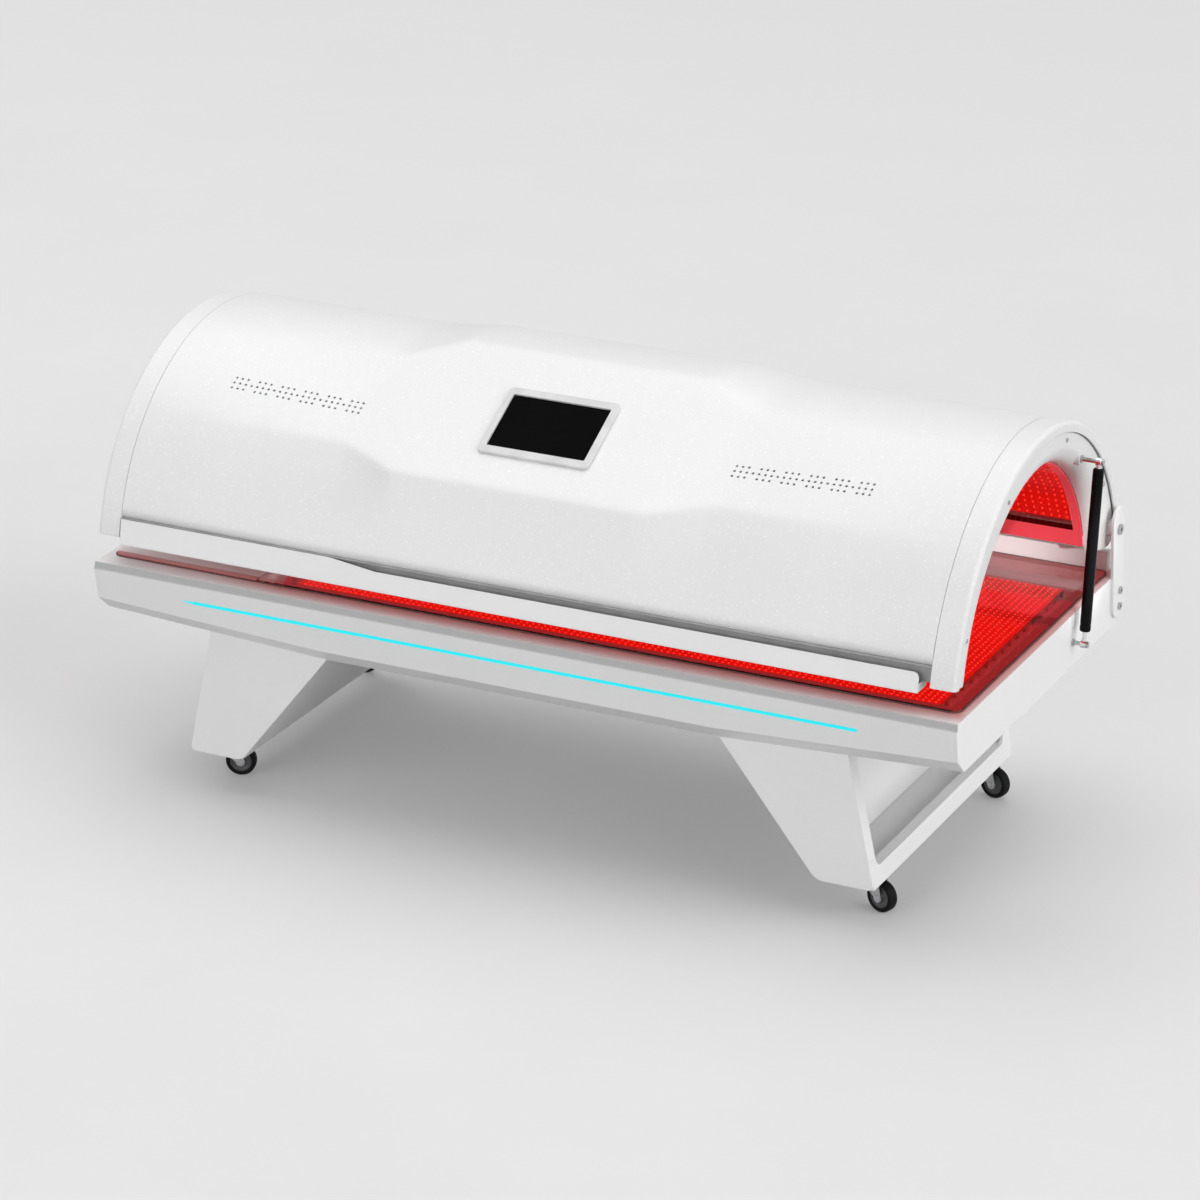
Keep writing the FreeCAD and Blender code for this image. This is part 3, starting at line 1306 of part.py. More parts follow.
def make_canopy_beams():
    front = tube_x(-RING_IN, RING_IN, BEAM_FRONT, BEAM_BACK, BEAM_LOW, SHELL_EDGE_Z, BEAM_WALL)
    ledge = box(-RING_IN, RING_IN, SHELL_EDGE_Y, BEAM_FRONT + BEAM_WALL, SHELL_EDGE_Z - BEAM_WALL,
                SHELL_EDGE_Z)
    rear = join([tube_x(-RING_IN, RING_IN, *REAR_BEAM, BEAM_WALL)] + hinge_blocks())
    start = PIN_IN - SEAM
    hole = rod(start, PIVOT_Y, PIVOT_Z, X_AXIS, PIN_D / 2 + RUN_FIT, HALF - start)
    return Part.makeCompound([join([front, ledge]), rear.cut([hole, mirror_x(hole)])])


# Grab rail along the canopy's front edge: tall at the head end, stepped down where the hand goes in.
GRIP_LOW = CANOPY_FRONT_Z - GRIP_DROP
GRIP_TALL = SHELL_EDGE_Z - SEAM
GRIP_TOP = SHELL_EDGE_Z - GRIP_STEP
GRIP_LEFT = -RING_IN + GRIP_HEAD_GAP
GRIP_RIGHT = RING_IN - GRIP_END_GAP
GRIP_Y = -CANOPY_R + GRIP_SET_BACK
GRIP_BACK = BEAM_FRONT + GRIP_UNDER


def make_grab_rail():
    top_y = GRIP_Y + (GRIP_TALL - GRIP_LOW) * GRIP_LEAN
    outline = [(GRIP_Y, GRIP_LOW), (top_y, GRIP_TALL), (top_y + GRIP_T, GRIP_TALL),
               (GRIP_Y + GRIP_T, GRIP_LOW)]
    face = plate_yz(outline, GRIP_LEFT, GRIP_RIGHT)
    x_a = -POD_HALF - POD_RUN
    x_b = x_a + GRIP_RAMP
    c = GRIP_CORNER
    k = c * (1 - MID_ROUND)
    over = GRIP_TALL + CUT_PAST
    past = GRIP_RIGHT + CUT_PAST
    trim = plate_xz([(x_a, over), (x_a, GRIP_TALL), (x_b, GRIP_TOP), (GRIP_RIGHT - c, GRIP_TOP),
                     (GRIP_RIGHT - k, GRIP_TOP - k), (GRIP_RIGHT, GRIP_TOP - c), (past, GRIP_TOP - c),
                     (past, over)],
                    GRIP_Y - CUT_PAST, top_y + GRIP_T + CUT_PAST)
    face = face.cut(trim)
    sole = box(GRIP_LEFT, GRIP_RIGHT, GRIP_Y, GRIP_BACK, GRIP_LOW, GRIP_LOW + GRIP_T)
    back = box(GRIP_LEFT, GRIP_RIGHT, GRIP_BACK - GRIP_T, GRIP_BACK, GRIP_LOW, BEAM_LOW)
    end = box(GRIP_RIGHT - GRIP_T, GRIP_RIGHT, GRIP_Y + GRIP_CAP_IN, GRIP_BACK, GRIP_LOW, BEAM_LOW)
    return join([face, sole, back, end])


# Screen on the facet, fans behind the vents.
BEZEL_SEAT = FACET_OFFSET + POD_CROWN + SEAT_GAP
GLASS_BED = FACET_OFFSET - GLASS_SINK


def make_bezel():
    y = -SCREEN_DOWN
    top = BEZEL_SEAT + BEZEL_H
    body = rounded_slab(-SCREEN_W / 2, SCREEN_W / 2, y - SCREEN_H / 2, y + SCREEN_H / 2,
                        BEZEL_SEAT, top, BEZEL_CORNER)
    body = round_edges(body, BEZEL_ROUND, lambda e: abs(e.CenterOfMass.z - top) < SAME)
    w = GLASS_W / 2
    h = GLASS_H / 2
    tray = box(-w - BEZEL_WALL, w + BEZEL_WALL, y - h - BEZEL_WALL, y + h + BEZEL_WALL,
               GLASS_BED - BEZEL_FLOOR, BEZEL_SEAT + SEAM)
    hole = rounded_slab(-w, w, y - h, y + h, GLASS_BED, top + CUT_PAST, BEZEL_WALL)
    return facet_place(join([body, tray]).cut(hole))


def make_screen():
    y = -SCREEN_DOWN
    w = GLASS_W / 2 - SCREW_FIT
    h = GLASS_H / 2 - SCREW_FIT
    return facet_place(rounded_slab(-w, w, y - h, y + h, GLASS_BED, GLASS_BED + GLASS_T, BEZEL_WALL))


FAN_Z = RIB_IN + FAN_LIFT


def fan_place(shape, side):
    shape.translate(V(side * VENT_X, -VENT_DOWN, 0))
    return facet_place(shape)


def make_fan_frames():
    frames = []
    half = SPOKE_W / 2
    reach = FAN_R + FAN_RIM / 2
    for side in (-1, 1):
        body = rounded_slab(-FAN_SIDE, FAN_SIDE, -FAN_SIDE, FAN_SIDE, FAN_Z, FAN_Z + FAN_T, FAN_CORNER)
        body = body.cut(rod(0, 0, FAN_Z - CUT_PAST, Z_AXIS, FAN_R, FAN_T + 2 * CUT_PAST))
        spokes = [box(-half, half, -reach, reach, FAN_Z, FAN_Z + SPOKE_T),
                  box(-reach, reach, -half, half, FAN_Z, FAN_Z + SPOKE_T)]
        hub = rod(0, 0, FAN_Z, Z_AXIS, FAN_HUB_R + FAN_HUB_LIP, SPOKE_T)
        pin = rod(0, 0, FAN_Z, Z_AXIS, FAN_PIN_R, FAN_PIN_L)
        frames.append(fan_place(join([body, hub, pin] + spokes), side))
    return Part.makeCompound(frames)


def make_fan_rotor(side):
    low = FAN_Z + SPOKE_T + MOVE_GAP
    middle = low + FAN_HUB_H / 2
    hub = rod(0, 0, low, Z_AXIS, FAN_HUB_R, FAN_HUB_H)
    blades = []
    for i in range(FAN_BLADES):
        blade = box(FAN_HUB_R - BLADE_ROOT, FAN_R - BLADE_GAP, -BLADE_T / 2, BLADE_T / 2,
                    middle - BLADE_W / 2, middle + BLADE_W / 2)
        blade.rotate(V(0, 0, middle), X_AXIS, BLADE_TURN)
        blade.rotate(V(0, 0, 0), Z_AXIS, i * 360 / FAN_BLADES)
        blades.append(blade)
    rotor = join([hub] + blades).cut(rod(0, 0, FAN_Z, Z_AXIS, FAN_PIN_R + RUN_FIT, FAN_PIN_L + MOVE_GAP))
    return fan_place(rotor, side)


os.makedirs("parts", exist_ok=True)
save("base_frame", make_base_frame())
save("base_casing", make_casing())
save("end_panel_left", make_end_panel(False))
save("end_panel_right", make_end_panel(True))
save("bed_led_boards", make_bed_boards())
save("bed_heatsinks", make_bed_sinks())
save("deck_acrylic", make_deck())
save("head_acrylic", make_head_deck())
save("deck_seal", make_seal())
save("accent_light", accent_bar(0.0, ACCENT_DEPTH, ACCENT_PROUD))
save("rear_rail", make_rear_rail())
save("power_supplies", make_supplies())
save("mains_inlet", make_inlet())
save("power_rocker", make_rocker())

BRACKET = make_bracket()
save("hinge_bracket_right", BRACKET)
save("hinge_bracket_left", mirror_x(BRACKET))
save("hinge_bolts", make_hinge_bolts())
save("strut_lower_studs", make_lower_studs())
save("strut_upper_studs", make_upper_studs())
CYLINDER = make_strut_cylinder()
save("strut_cylinder_right", CYLINDER)
save("strut_cylinder_left", mirror_x(CYLINDER))
STRUT_ROD = make_strut_rod()
save("strut_rod_right", STRUT_ROD)
save("strut_rod_left", mirror_x(STRUT_ROD))

LEG_FRONT = make_leg_front()
LEG_REAR = make_leg_rear()
LEG_WEB = make_leg_web()
LEG_FOOT = make_leg_foot()
save("leg_right_front_plate", LEG_FRONT)
save("leg_right_rear_plate", LEG_REAR)
save("leg_right_web", LEG_WEB)
save("leg_right_foot", LEG_FOOT)
save("leg_left_front_plate", mirror_x(LEG_FRONT))
save("leg_left_rear_plate", mirror_x(LEG_REAR))
save("leg_left_web", mirror_x(LEG_WEB))
save("leg_left_foot", mirror_x(LEG_FOOT))

save("castor_plates", make_castor_plates())
FORK = make_fork()
WHEEL = make_wheel()
PEDAL = make_pedal()
for corner, spot in castor_spots().items():
    save("castor_fork_" + corner, castor_at(FORK, spot, CASTOR_TURNS[corner]))
    save("castor_wheel_" + corner, castor_at(WHEEL, spot, CASTOR_TURNS[corner]))
    save("castor_pedal_" + corner, castor_at(PEDAL, spot, CASTOR_TURNS[corner]))

save("canopy_shell", make_shell())
RING = make_ring()
save("canopy_ring_right", RING)
save("canopy_ring_left", mirror_x(RING))
COVER = make_cover()
save("end_cover_right", COVER)
save("end_cover_left", mirror_x(COVER))
save("canopy_screws", make_screws())
save("canopy_liner", make_liner())
save("canopy_led_boards", make_canopy_boards())
save("canopy_frame", make_canopy_frame())
save("canopy_beams", make_canopy_beams())
save("grab_rail", make_grab_rail())
save("screen_bezel", make_bezel())
save("touchscreen", make_screen())
save("canopy_fan_frames", make_fan_frames())
save("canopy_fan_rotor_left", make_fan_rotor(-1))
save("canopy_fan_rotor_right", make_fan_rotor(1))
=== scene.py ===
import json
import math
import bmesh
import bpy
from bpy.props import FloatProperty, FloatVectorProperty, IntProperty, PointerProperty
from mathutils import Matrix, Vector


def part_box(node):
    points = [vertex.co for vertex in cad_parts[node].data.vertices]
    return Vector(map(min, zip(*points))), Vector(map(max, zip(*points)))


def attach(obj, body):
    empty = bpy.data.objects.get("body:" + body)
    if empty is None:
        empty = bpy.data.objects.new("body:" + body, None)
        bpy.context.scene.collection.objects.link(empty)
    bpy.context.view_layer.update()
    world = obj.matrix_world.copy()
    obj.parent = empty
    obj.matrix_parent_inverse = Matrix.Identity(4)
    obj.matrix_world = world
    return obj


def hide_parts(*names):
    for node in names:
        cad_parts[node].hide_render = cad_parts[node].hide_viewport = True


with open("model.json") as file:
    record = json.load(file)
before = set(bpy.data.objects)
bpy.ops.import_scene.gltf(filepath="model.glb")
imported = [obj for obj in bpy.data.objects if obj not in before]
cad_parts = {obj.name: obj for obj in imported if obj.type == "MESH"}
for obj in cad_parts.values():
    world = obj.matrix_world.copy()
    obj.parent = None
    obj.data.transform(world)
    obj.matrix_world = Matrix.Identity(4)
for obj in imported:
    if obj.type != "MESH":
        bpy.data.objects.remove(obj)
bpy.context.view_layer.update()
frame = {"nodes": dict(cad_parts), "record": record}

bl_info = {
    "name": "Light bed dressing",
    "version": (1, 0, 0),
    "blender": (4, 5, 0),
    "location": "View3D > Sidebar > Light bed",
    "description": "Dresses the light bed's frame with finishes, lamps, soft skins and a studio",
    "category": "Object",
}

NODE_SLOTS = {part["node"]: part["material_slot"] for part in frame["record"]["subparts"]}
AXIS_Z = 0.545
FINISH = "lightbed_"
CORNERS = ("fl", "fr", "rl", "rr")
SIDES = (("left", -1), ("right", 1))
ACRYLIC_IOR = 1.49
WIPED = (0.3, 1.0, 1.0)

# Where a finish changes along an axis of the bed: from, to.
CASING_TOP = (0.567, 0.5695)
GLOW_SIDE = (0.470, 0.514)
GLOW_END = (1.080, 1.108)
GLOW_START = (-1.06, -0.90)
GLOW_LIT = (-0.80, -0.62)
BAND_SIDE = (0.5205, 0.5225)
BAND_FOOT = (0.5515, 0.5555)
GLOW_PAINT_FOOT = (0.505, 0.525)
GLOW_PAINT_LIT = (-0.74, -0.66)
HEAD_RIM = (0.449, 0.453)
LINE_FOOT = (0.6895, 0.6910)
CLEAR_FOOT = (0.7065, 0.7080)
RIM_PAST_BOARDS = (0.004, 0.006)


def colour_prop(name, words, default):
    return FloatVectorProperty(name=name, description=words, subtype="COLOR", size=3, min=0.0, max=1.0,
                               default=default)


def length_prop(name, words, default):
    return FloatProperty(name=name, description=words, unit="LENGTH", min=0.0, default=default)


def level_prop(name, words, default):
    return FloatProperty(name=name, description=words, min=0.0, default=default)


class BedColours(bpy.types.PropertyGroup):
    """Colours of the finishes."""
    coat: colour_prop("Coat", "Satin powder coat on the base and legs", (0.92, 0.92, 0.92))
    moulding: colour_prop("Moulding", "Grained white of the canopy", (0.825, 0.825, 0.825))
    steel: colour_prop("Frame steel", "Coated steel inside", (0.55, 0.56, 0.57))
    # steel behind the grab rail, its colour darkened as painted shade for the gap it sits in
    beam: colour_prop("Beam", "Steel behind the grab rail", (0.42, 0.42, 0.42))
    # painted light: red lamp light on the steel under the deck, used as its colour and its glow
    lamp_glow_paint: colour_prop("Ember", "Steel beside the lamps under the deck", (0.42, 0.055, 0.060))
    # painted shade: a grey band that stands in for the shade on the casing's upper edge
    shade_band: colour_prop("Trim", "Grey band along the casing's upper edge", (0.43, 0.43, 0.435))
    # painted light: the red of the deck's lamps painted into the casing's colour
    painted_glow: colour_prop("Blush", "Red glow on the casing beside the deck", (0.70, 0.20, 0.19))
    lamp_red: colour_prop("Lamp red", "Light of the boards", (1.0, 0.006, 0.003))
    lamp_hot: colour_prop("Lamp heart", "Light of a lamp's crown", (1.0, 0.03, 0.02))
    accent: colour_prop("Accent", "Light of the front strip", (0.0, 0.82, 0.92))
    acrylic: colour_prop("Acrylic", "Body of the clear sheets", (1.0, 0.94, 0.94))
    head: colour_prop("Head sheet", "Body of the milky head sheet", (0.93, 0.90, 0.89))
    # painted light: red lamp light in the head sheet's edges
    head_edge_glow: colour_prop("Head edge", "Polished edge of the head sheet", (0.66, 0.20, 0.20))
    # painted light: red lamp light on the canopy sheet's lip, also used as its glow
    rim_red_light: colour_prop("Rose", "Border under the canopy's lamps", (0.55, 0.05, 0.065))
    tyre: colour_prop("Tyre", "Castor tyres", (0.008, 0.008, 0.0085))


class BedSizes(bpy.types.PropertyGroup):
    """Sizes of the pieces that are modelled here."""
    lamp_pitch: length_prop("Lamp pitch", "Lamp spacing along the bed", 0.0152)
    lamp_row: length_prop("Lamp row", "Lamp spacing across the bed", 0.0155)
    hood_pitch: length_prop("Canopy pitch", "Lamp spacing along the canopy", 0.0200)
    hood_rows: IntProperty(name="Canopy rows", description="Lamp rows on each canopy board", min=1, default=6)
    lamp_radius: length_prop("Lamp radius", "Radius of one lamp", 0.0023)
    lamp_height: length_prop("Lamp height", "Height of one lamp", 0.0024)
    skin: length_prop("Skin", "Wall of the canopy skin", 0.0035)
    vent: length_prop("Vent", "Diameter of a vent hole", 0.0065)
    vent_pitch: length_prop("Vent pitch", "Spacing of the vent holes", 0.0153)


class BedStage(bpy.types.PropertyGroup):
    """Studio and camera."""
    floor: colour_prop("Floor", "Pale studio floor as seen", (0.66, 0.658, 0.659))
    haze: colour_prop("Haze", "Pale backdrop that the floor fades into", (0.12, 0.12, 0.12))
    bounce: colour_prop("Bounce", "Studio floor as it throws light back", (0.32, 0.32, 0.32))
    backdrop: level_prop("Backdrop", "Level of the backdrop as seen", 0.80)
    sky: level_prop("Sky", "Level of the even surrounding light", 0.32)
    top_box: level_prop("Top box", "Level of the soft box overhead", 2.1)
    front_box: level_prop("Front box", "Level of the low soft box in front", 2.75)
    side_box: level_prop("Side box", "Level of the soft box at the foot end", 3.05)
    mouth_lamp: level_prop("Mouth lamp", "Power of the lamp at the tunnel's mouth in watts", 560.0)
    turn: FloatProperty(name="Turn", description="Camera turn", subtype="ANGLE", default=math.radians(26.26))
    rise: FloatProperty(name="Rise", description="Camera rise", subtype="ANGLE", default=math.radians(21.87))
    reach: length_prop("Reach", "Camera distance", 10.399)
    lens: FloatProperty(name="Lens", description="Focal length in mm", min=1.0, default=131.12)


# Node helpers for the finishes.
def new_finish(name):
    finish = bpy.data.materials.new(FINISH + name)
    finish.use_nodes = True
    tree = finish.node_tree
    tree.nodes.clear()
    out = tree.nodes.new("ShaderNodeOutputMaterial")
    shader = tree.nodes.new("ShaderNodeBsdfPrincipled")
    tree.links.new(shader.outputs[0], out.inputs["Surface"])
    place = tree.nodes.new("ShaderNodeTexCoord").outputs["Object"]
    return finish, tree, shader, place


def grain(tree, place, scale, detail=2.0, stretch=None):
    if stretch:
        turn = tree.nodes.new("ShaderNodeMapping")
        turn.inputs["Scale"].default_value = stretch
        tree.links.new(place, turn.inputs["Vector"])
        place = turn.outputs[0]
    node = tree.nodes.new("ShaderNodeTexNoise")
    node.inputs["Scale"].default_value = scale
    node.inputs["Detail"].default_value = detail
    tree.links.new(place, node.inputs["Vector"])
    return node.outputs[0]


def spread(tree, value, low, high, first=0.3, last=0.7):
    node = tree.nodes.new("ShaderNodeMapRange")
    node.inputs["From Min"].default_value = first
    node.inputs["From Max"].default_value = last
    node.inputs["To Min"].default_value = low
    node.inputs["To Max"].default_value = high
    tree.links.new(value, node.inputs["Value"])
    return node.outputs[0]


def mixed(tree, share, under, over):
    """Mix of two colours, each of them a socket or three numbers."""
    node = tree.nodes.new("ShaderNodeMix")
    node.data_type = "RGBA"
    tree.links.new(share, node.inputs[0])
    for socket, colour in ((node.inputs[6], under), (node.inputs[7], over)):
        if isinstance(colour, bpy.types.NodeSocket):
            tree.links.new(colour, socket)
        else:
            socket.default_value = (*colour, 1.0)
    return node.outputs[2]


def clouded(tree, place, scale, detail, colour, least, stretch=None):
    """A colour that drifts between itself and a darker shade of it."""
    cloud = spread(tree, grain(tree, place, scale, detail, stretch), 0.0, 1.0)
    return mixed(tree, cloud, shade(colour, least), colour)


def flakes(tree, place, scale, least):
    cells = tree.nodes.new("ShaderNodeTexVoronoi")
    cells.inputs["Scale"].default_value = scale
    tree.links.new(place, cells.inputs["Vector"])
    parts = tree.nodes.new("ShaderNodeSeparateColor")
    tree.links.new(cells.outputs["Color"], parts.inputs[0])
    return spread(tree, parts.outputs[0], 0.0, 1.0, least, 1.0)


def relief(tree, shader, height, depth, strength, edge=0.0):
    node = tree.nodes.new("ShaderNodeBump")
    node.inputs["Strength"].default_value = strength
    node.inputs["Distance"].default_value = depth
    tree.links.new(height, node.inputs["Height"])
    if edge > 0.0:
        soft = tree.nodes.new("ShaderNodeBevel")
        soft.samples = 4
        soft.inputs["Radius"].default_value = edge
        tree.links.new(soft.outputs[0], node.inputs["Normal"])
    tree.links.new(node.outputs[0], shader.inputs["Normal"])


def shade(colour, factor):
    return tuple(c * factor for c in colour)


def axes(tree, vector):
    node = tree.nodes.new("ShaderNodeSeparateXYZ")
    tree.links.new(vector, node.inputs[0])
    return node.outputs


def size_of(tree, value):
    node = tree.nodes.new("ShaderNodeMath")
    node.operation = "ABSOLUTE"
    tree.links.new(value, node.inputs[0])
    return node.outputs[0]


def combine(tree, operation, *values):
    total = values[0]
    for value in values[1:]:
        node = tree.nodes.new("ShaderNodeMath")
        node.operation = operation
        tree.links.new(total, node.inputs[0])
        tree.links.new(value, node.inputs[1])
        total = node.outputs[0]
    return total


def deck_glow(tree, place):
    """Share of the red lamp light painted on the casing's top, strongest beside the lit deck."""
    peak = 0.85
    at_head = 0.25
    x, y, z = axes(tree, place)
    beside = spread(tree, size_of(tree, y), peak, 0.0, *GLOW_SIDE)
    ends = spread(tree, size_of(tree, x), peak, 0.0, *GLOW_END)
    lit = spread(tree, x, at_head, 1.0, *GLOW_LIT)
    start = spread(tree, x, 0.0, 1.0, *GLOW_START)
    top = spread(tree, z, 0.0, 1.0, *CASING_TOP)
    return combine(tree, "MULTIPLY", combine(tree, "MINIMUM", beside, ends), lit, start, top)


def edge_shade_band(tree, place):
    """Share of the painted shade on the casing's upper edge, a grey band front and back."""
    side = spread(tree, size_of(tree, axes(tree, place)[1]), 0.0, 1.0, *BAND_SIDE)
    return combine(tree, "MULTIPLY", side, spread(tree, axes(tree, place)[2], 0.0, 1.0, *BAND_FOOT))


def white_finish(name, colour, sparkle, edge, rough, shade_band=None, painted_glow=None):
    """Satin white with a fine grain, bright flakes and faint cloudiness; on the casing also a painted grey
    shade band on its upper edge and painted red lamp light beside the deck.
    """
    finish, tree, shader, place = new_finish(name)
    base = clouded(tree, place, 2.4, 4.0, colour, 0.965)
    specks = spread(tree, flakes(tree, place, 310.0, 0.90), 0.0, sparkle, 0.0, 1.0)
    base = mixed(tree, specks, base, (1.0, 1.0, 1.0))
    if shade_band:
        # painted shade on the upper edge, then painted red lamp light beside the deck
        base = mixed(tree, edge_shade_band(tree, place), base, shade_band)
        base = mixed(tree, deck_glow(tree, place), base, painted_glow)
    tree.links.new(base, shader.inputs["Base Color"])
    gloss = spread(tree, grain(tree, place, 38.0, 3.0), rough, rough * 1.3)
    tree.links.new(gloss, shader.inputs["Roughness"])
    relief(tree, shader, grain(tree, place, 520.0, 3.0), 0.0004, 0.16, edge)
    return finish


def plain_finish(name, colour, rough, metal=0.0, scale=60.0, depth=0.0002, strength=0.2, edge=0.0012,
                 stretch=None, shine=0.5):
    """Moulded or metal surface with uneven gloss and a fine relief."""
    finish, tree, shader, place = new_finish(name)
    base = clouded(tree, place, scale * 0.3, 3.0, colour, 0.82, stretch)
    tree.links.new(base, shader.inputs["Base Color"])
    gloss = spread(tree, grain(tree, place, scale, 3.0, stretch), rough * 0.8, rough * 1.25)
    tree.links.new(gloss, shader.inputs["Roughness"])
    shader.inputs["Metallic"].default_value = metal
    shader.inputs["Specular IOR Level"].default_value = shine
    relief(tree, shader, grain(tree, place, scale * 9.0, 2.0, stretch), depth, strength, edge)
    return finish


def frame_finish(name, colour, lamp_glow_paint):
    """Coated steel with the dark red light of the lamps under the deck painted on, as colour and as a faint
    glow, where it reaches the steel.
    """
    finish, tree, shader, place = new_finish(name)
    high = spread(tree, axes(tree, place)[2], 0.0, 1.0, *GLOW_PAINT_FOOT)
    lit = spread(tree, axes(tree, place)[0], 0.3, 1.0, *GLOW_PAINT_LIT)
    share = combine(tree, "MULTIPLY", high, lit)
    steel = clouded(tree, place, 18.0, 3.0, colour, 0.82)
    tree.links.new(mixed(tree, share, steel, lamp_glow_paint), shader.inputs["Base Color"])
    shader.inputs["Roughness"].default_value = 0.5
    shader.inputs["Emission Color"].default_value = (*lamp_glow_paint, 1.0)
    tree.links.new(spread(tree, share, 0.0, 0.35, 0.0, 1.0), shader.inputs["Emission Strength"])
    relief(tree, shader, grain(tree, place, 540.0, 2.0), 0.0002, 0.2, 0.0012)
    return finish


def lit_finish(name, base, light, strength, scale, low, facing=None):
    """Lit surface whose brightness drifts a little; with facing, only the lamps' side of a board glows."""
    finish, tree, shader, place = new_finish(name)
    shader.inputs["Base Color"].default_value = (*base, 1.0)
    shader.inputs["Roughness"].default_value = 0.4
    shader.inputs["Emission Color"].default_value = (*light, 1.0)
    glow = spread(tree, grain(tree, place, scale, 2.0), strength * low, strength)
    normal = place.node.outputs["Normal"]
    if facing == "up":
        glow = combine(tree, "MULTIPLY", glow, spread(tree, axes(tree, normal)[2], 0.0, 1.0, 0.4, 0.6))
    if facing == "axis":
        out = tree.nodes.new("ShaderNodeVectorMath")
        out.operation = "SUBTRACT"
        tree.links.new(place, out.inputs[0])
        out.inputs[1].default_value = (0.0, 0.0, AXIS_Z)
        away = tree.nodes.new("ShaderNodeVectorMath")
        away.operation = "DOT_PRODUCT"
        tree.links.new(out.outputs[0], away.inputs[0])
        tree.links.new(normal, away.inputs[1])
        glow = combine(tree, "MULTIPLY", glow, spread(tree, away.outputs["Value"], 1.0, 0.0, -0.3, -0.1))
    tree.links.new(glow, shader.inputs["Emission Strength"])
    relief(tree, shader, grain(tree, place, scale * 40.0, 2.0), 0.0002, 0.2)
    return finish


def clear_finish(name, colour, rough, scratch):
    """Clear acrylic sheet with faint wipe marks."""
    finish, tree, shader, place = new_finish(name)
    shader.inputs["Base Color"].default_value = (*colour, 1.0)
    shader.inputs["Transmission Weight"].default_value = 1.0
    shader.inputs["IOR"].default_value = ACRYLIC_IOR
    marks = grain(tree, place, 26.0, 4.0, WIPED)
    tree.links.new(spread(tree, marks, rough, rough + scratch, 0.45, 0.75), shader.inputs["Roughness"])
    return finish


def milky_finish(name, colour, edge):
    """Half-clear acrylic with painted red lamp light along the edges of its long sides."""
    finish, tree, shader, place = new_finish(name)
    sheet = clouded(tree, place, 9.0, 3.0, colour, 0.94)
    rim = spread(tree, size_of(tree, axes(tree, place)[1]), 0.0, 1.0, *HEAD_RIM)
    tree.links.new(mixed(tree, rim, sheet, edge), shader.inputs["Base Color"])
    shader.inputs["Transmission Weight"].default_value = 0.12
    shader.inputs["IOR"].default_value = ACRYLIC_IOR
    gloss = spread(tree, grain(tree, place, 26.0, 4.0), 0.29, 0.37)
    tree.links.new(gloss, shader.inputs["Roughness"])
    return finish


def lining_finish(name, colour, rim_red_light):
    """Clear curved sheet whose edges carry painted red lamp light and a faint glow, with a dark painted shade
    line in the gap beside the boards.
    """
    finish, tree, shader, place = new_finish(name)
    along = axes(tree, place)[0]
    height = axes(tree, place)[2]
    board_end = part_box("canopy_led_boards")[1].x
    ends = spread(tree, size_of(tree, along), 1.0, 0.0, *(board_end + past for past in RIM_PAST_BOARDS))
    # painted light: red lamp light on the sheet's lip; painted shade: the dark line in the gap beside the
    # boards
    lamp_light_band = clouded(tree, place, 12.0, 3.0, rim_red_light, 0.9)
    gap_shade = mixed(tree, spread(tree, height, 0.0, 1.0, *LINE_FOOT), lamp_light_band, (0.012, 0.001, 0.001))
    clear = spread(tree, height, 0.0, 1.0, *CLEAR_FOOT)
    sheet = mixed(tree, clear, gap_shade, colour)
    rim = spread(tree, ends, 1.0, 0.0, 0.0, 1.0)
    tree.links.new(mixed(tree, rim, sheet, rim_red_light), shader.inputs["Base Color"])
    tree.links.new(combine(tree, "MULTIPLY", clear, ends), shader.inputs["Transmission Weight"])
    painted = combine(tree, "MAXIMUM", rim, spread(tree, height, 1.0, 0.0, *LINE_FOOT))
    # the lip's painted red lamp light also glows faintly
    shader.inputs["Emission Color"].default_value = (*rim_red_light, 1.0)
    tree.links.new(spread(tree, painted, 0.0, 0.6, 0.0, 1.0), shader.inputs["Emission Strength"])
    shader.inputs["IOR"].default_value = ACRYLIC_IOR
    gloss = spread(tree, grain(tree, place, 26.0, 4.0, WIPED), 0.02, 0.10)
    tree.links.new(gloss, shader.inputs["Roughness"])
    return finish


OWN_FINISH = {"base_casing": "casing_coat", "end_panel_left": "casing_coat", "end_panel_right": "casing_coat",
              "base_frame": "deck_frame", "canopy_beams": "beam_steel", "bed_led_boards": "bed_board",
              "canopy_led_boards": "canopy_board", "canopy_liner": "lining", "grab_rail": "white_coat"}


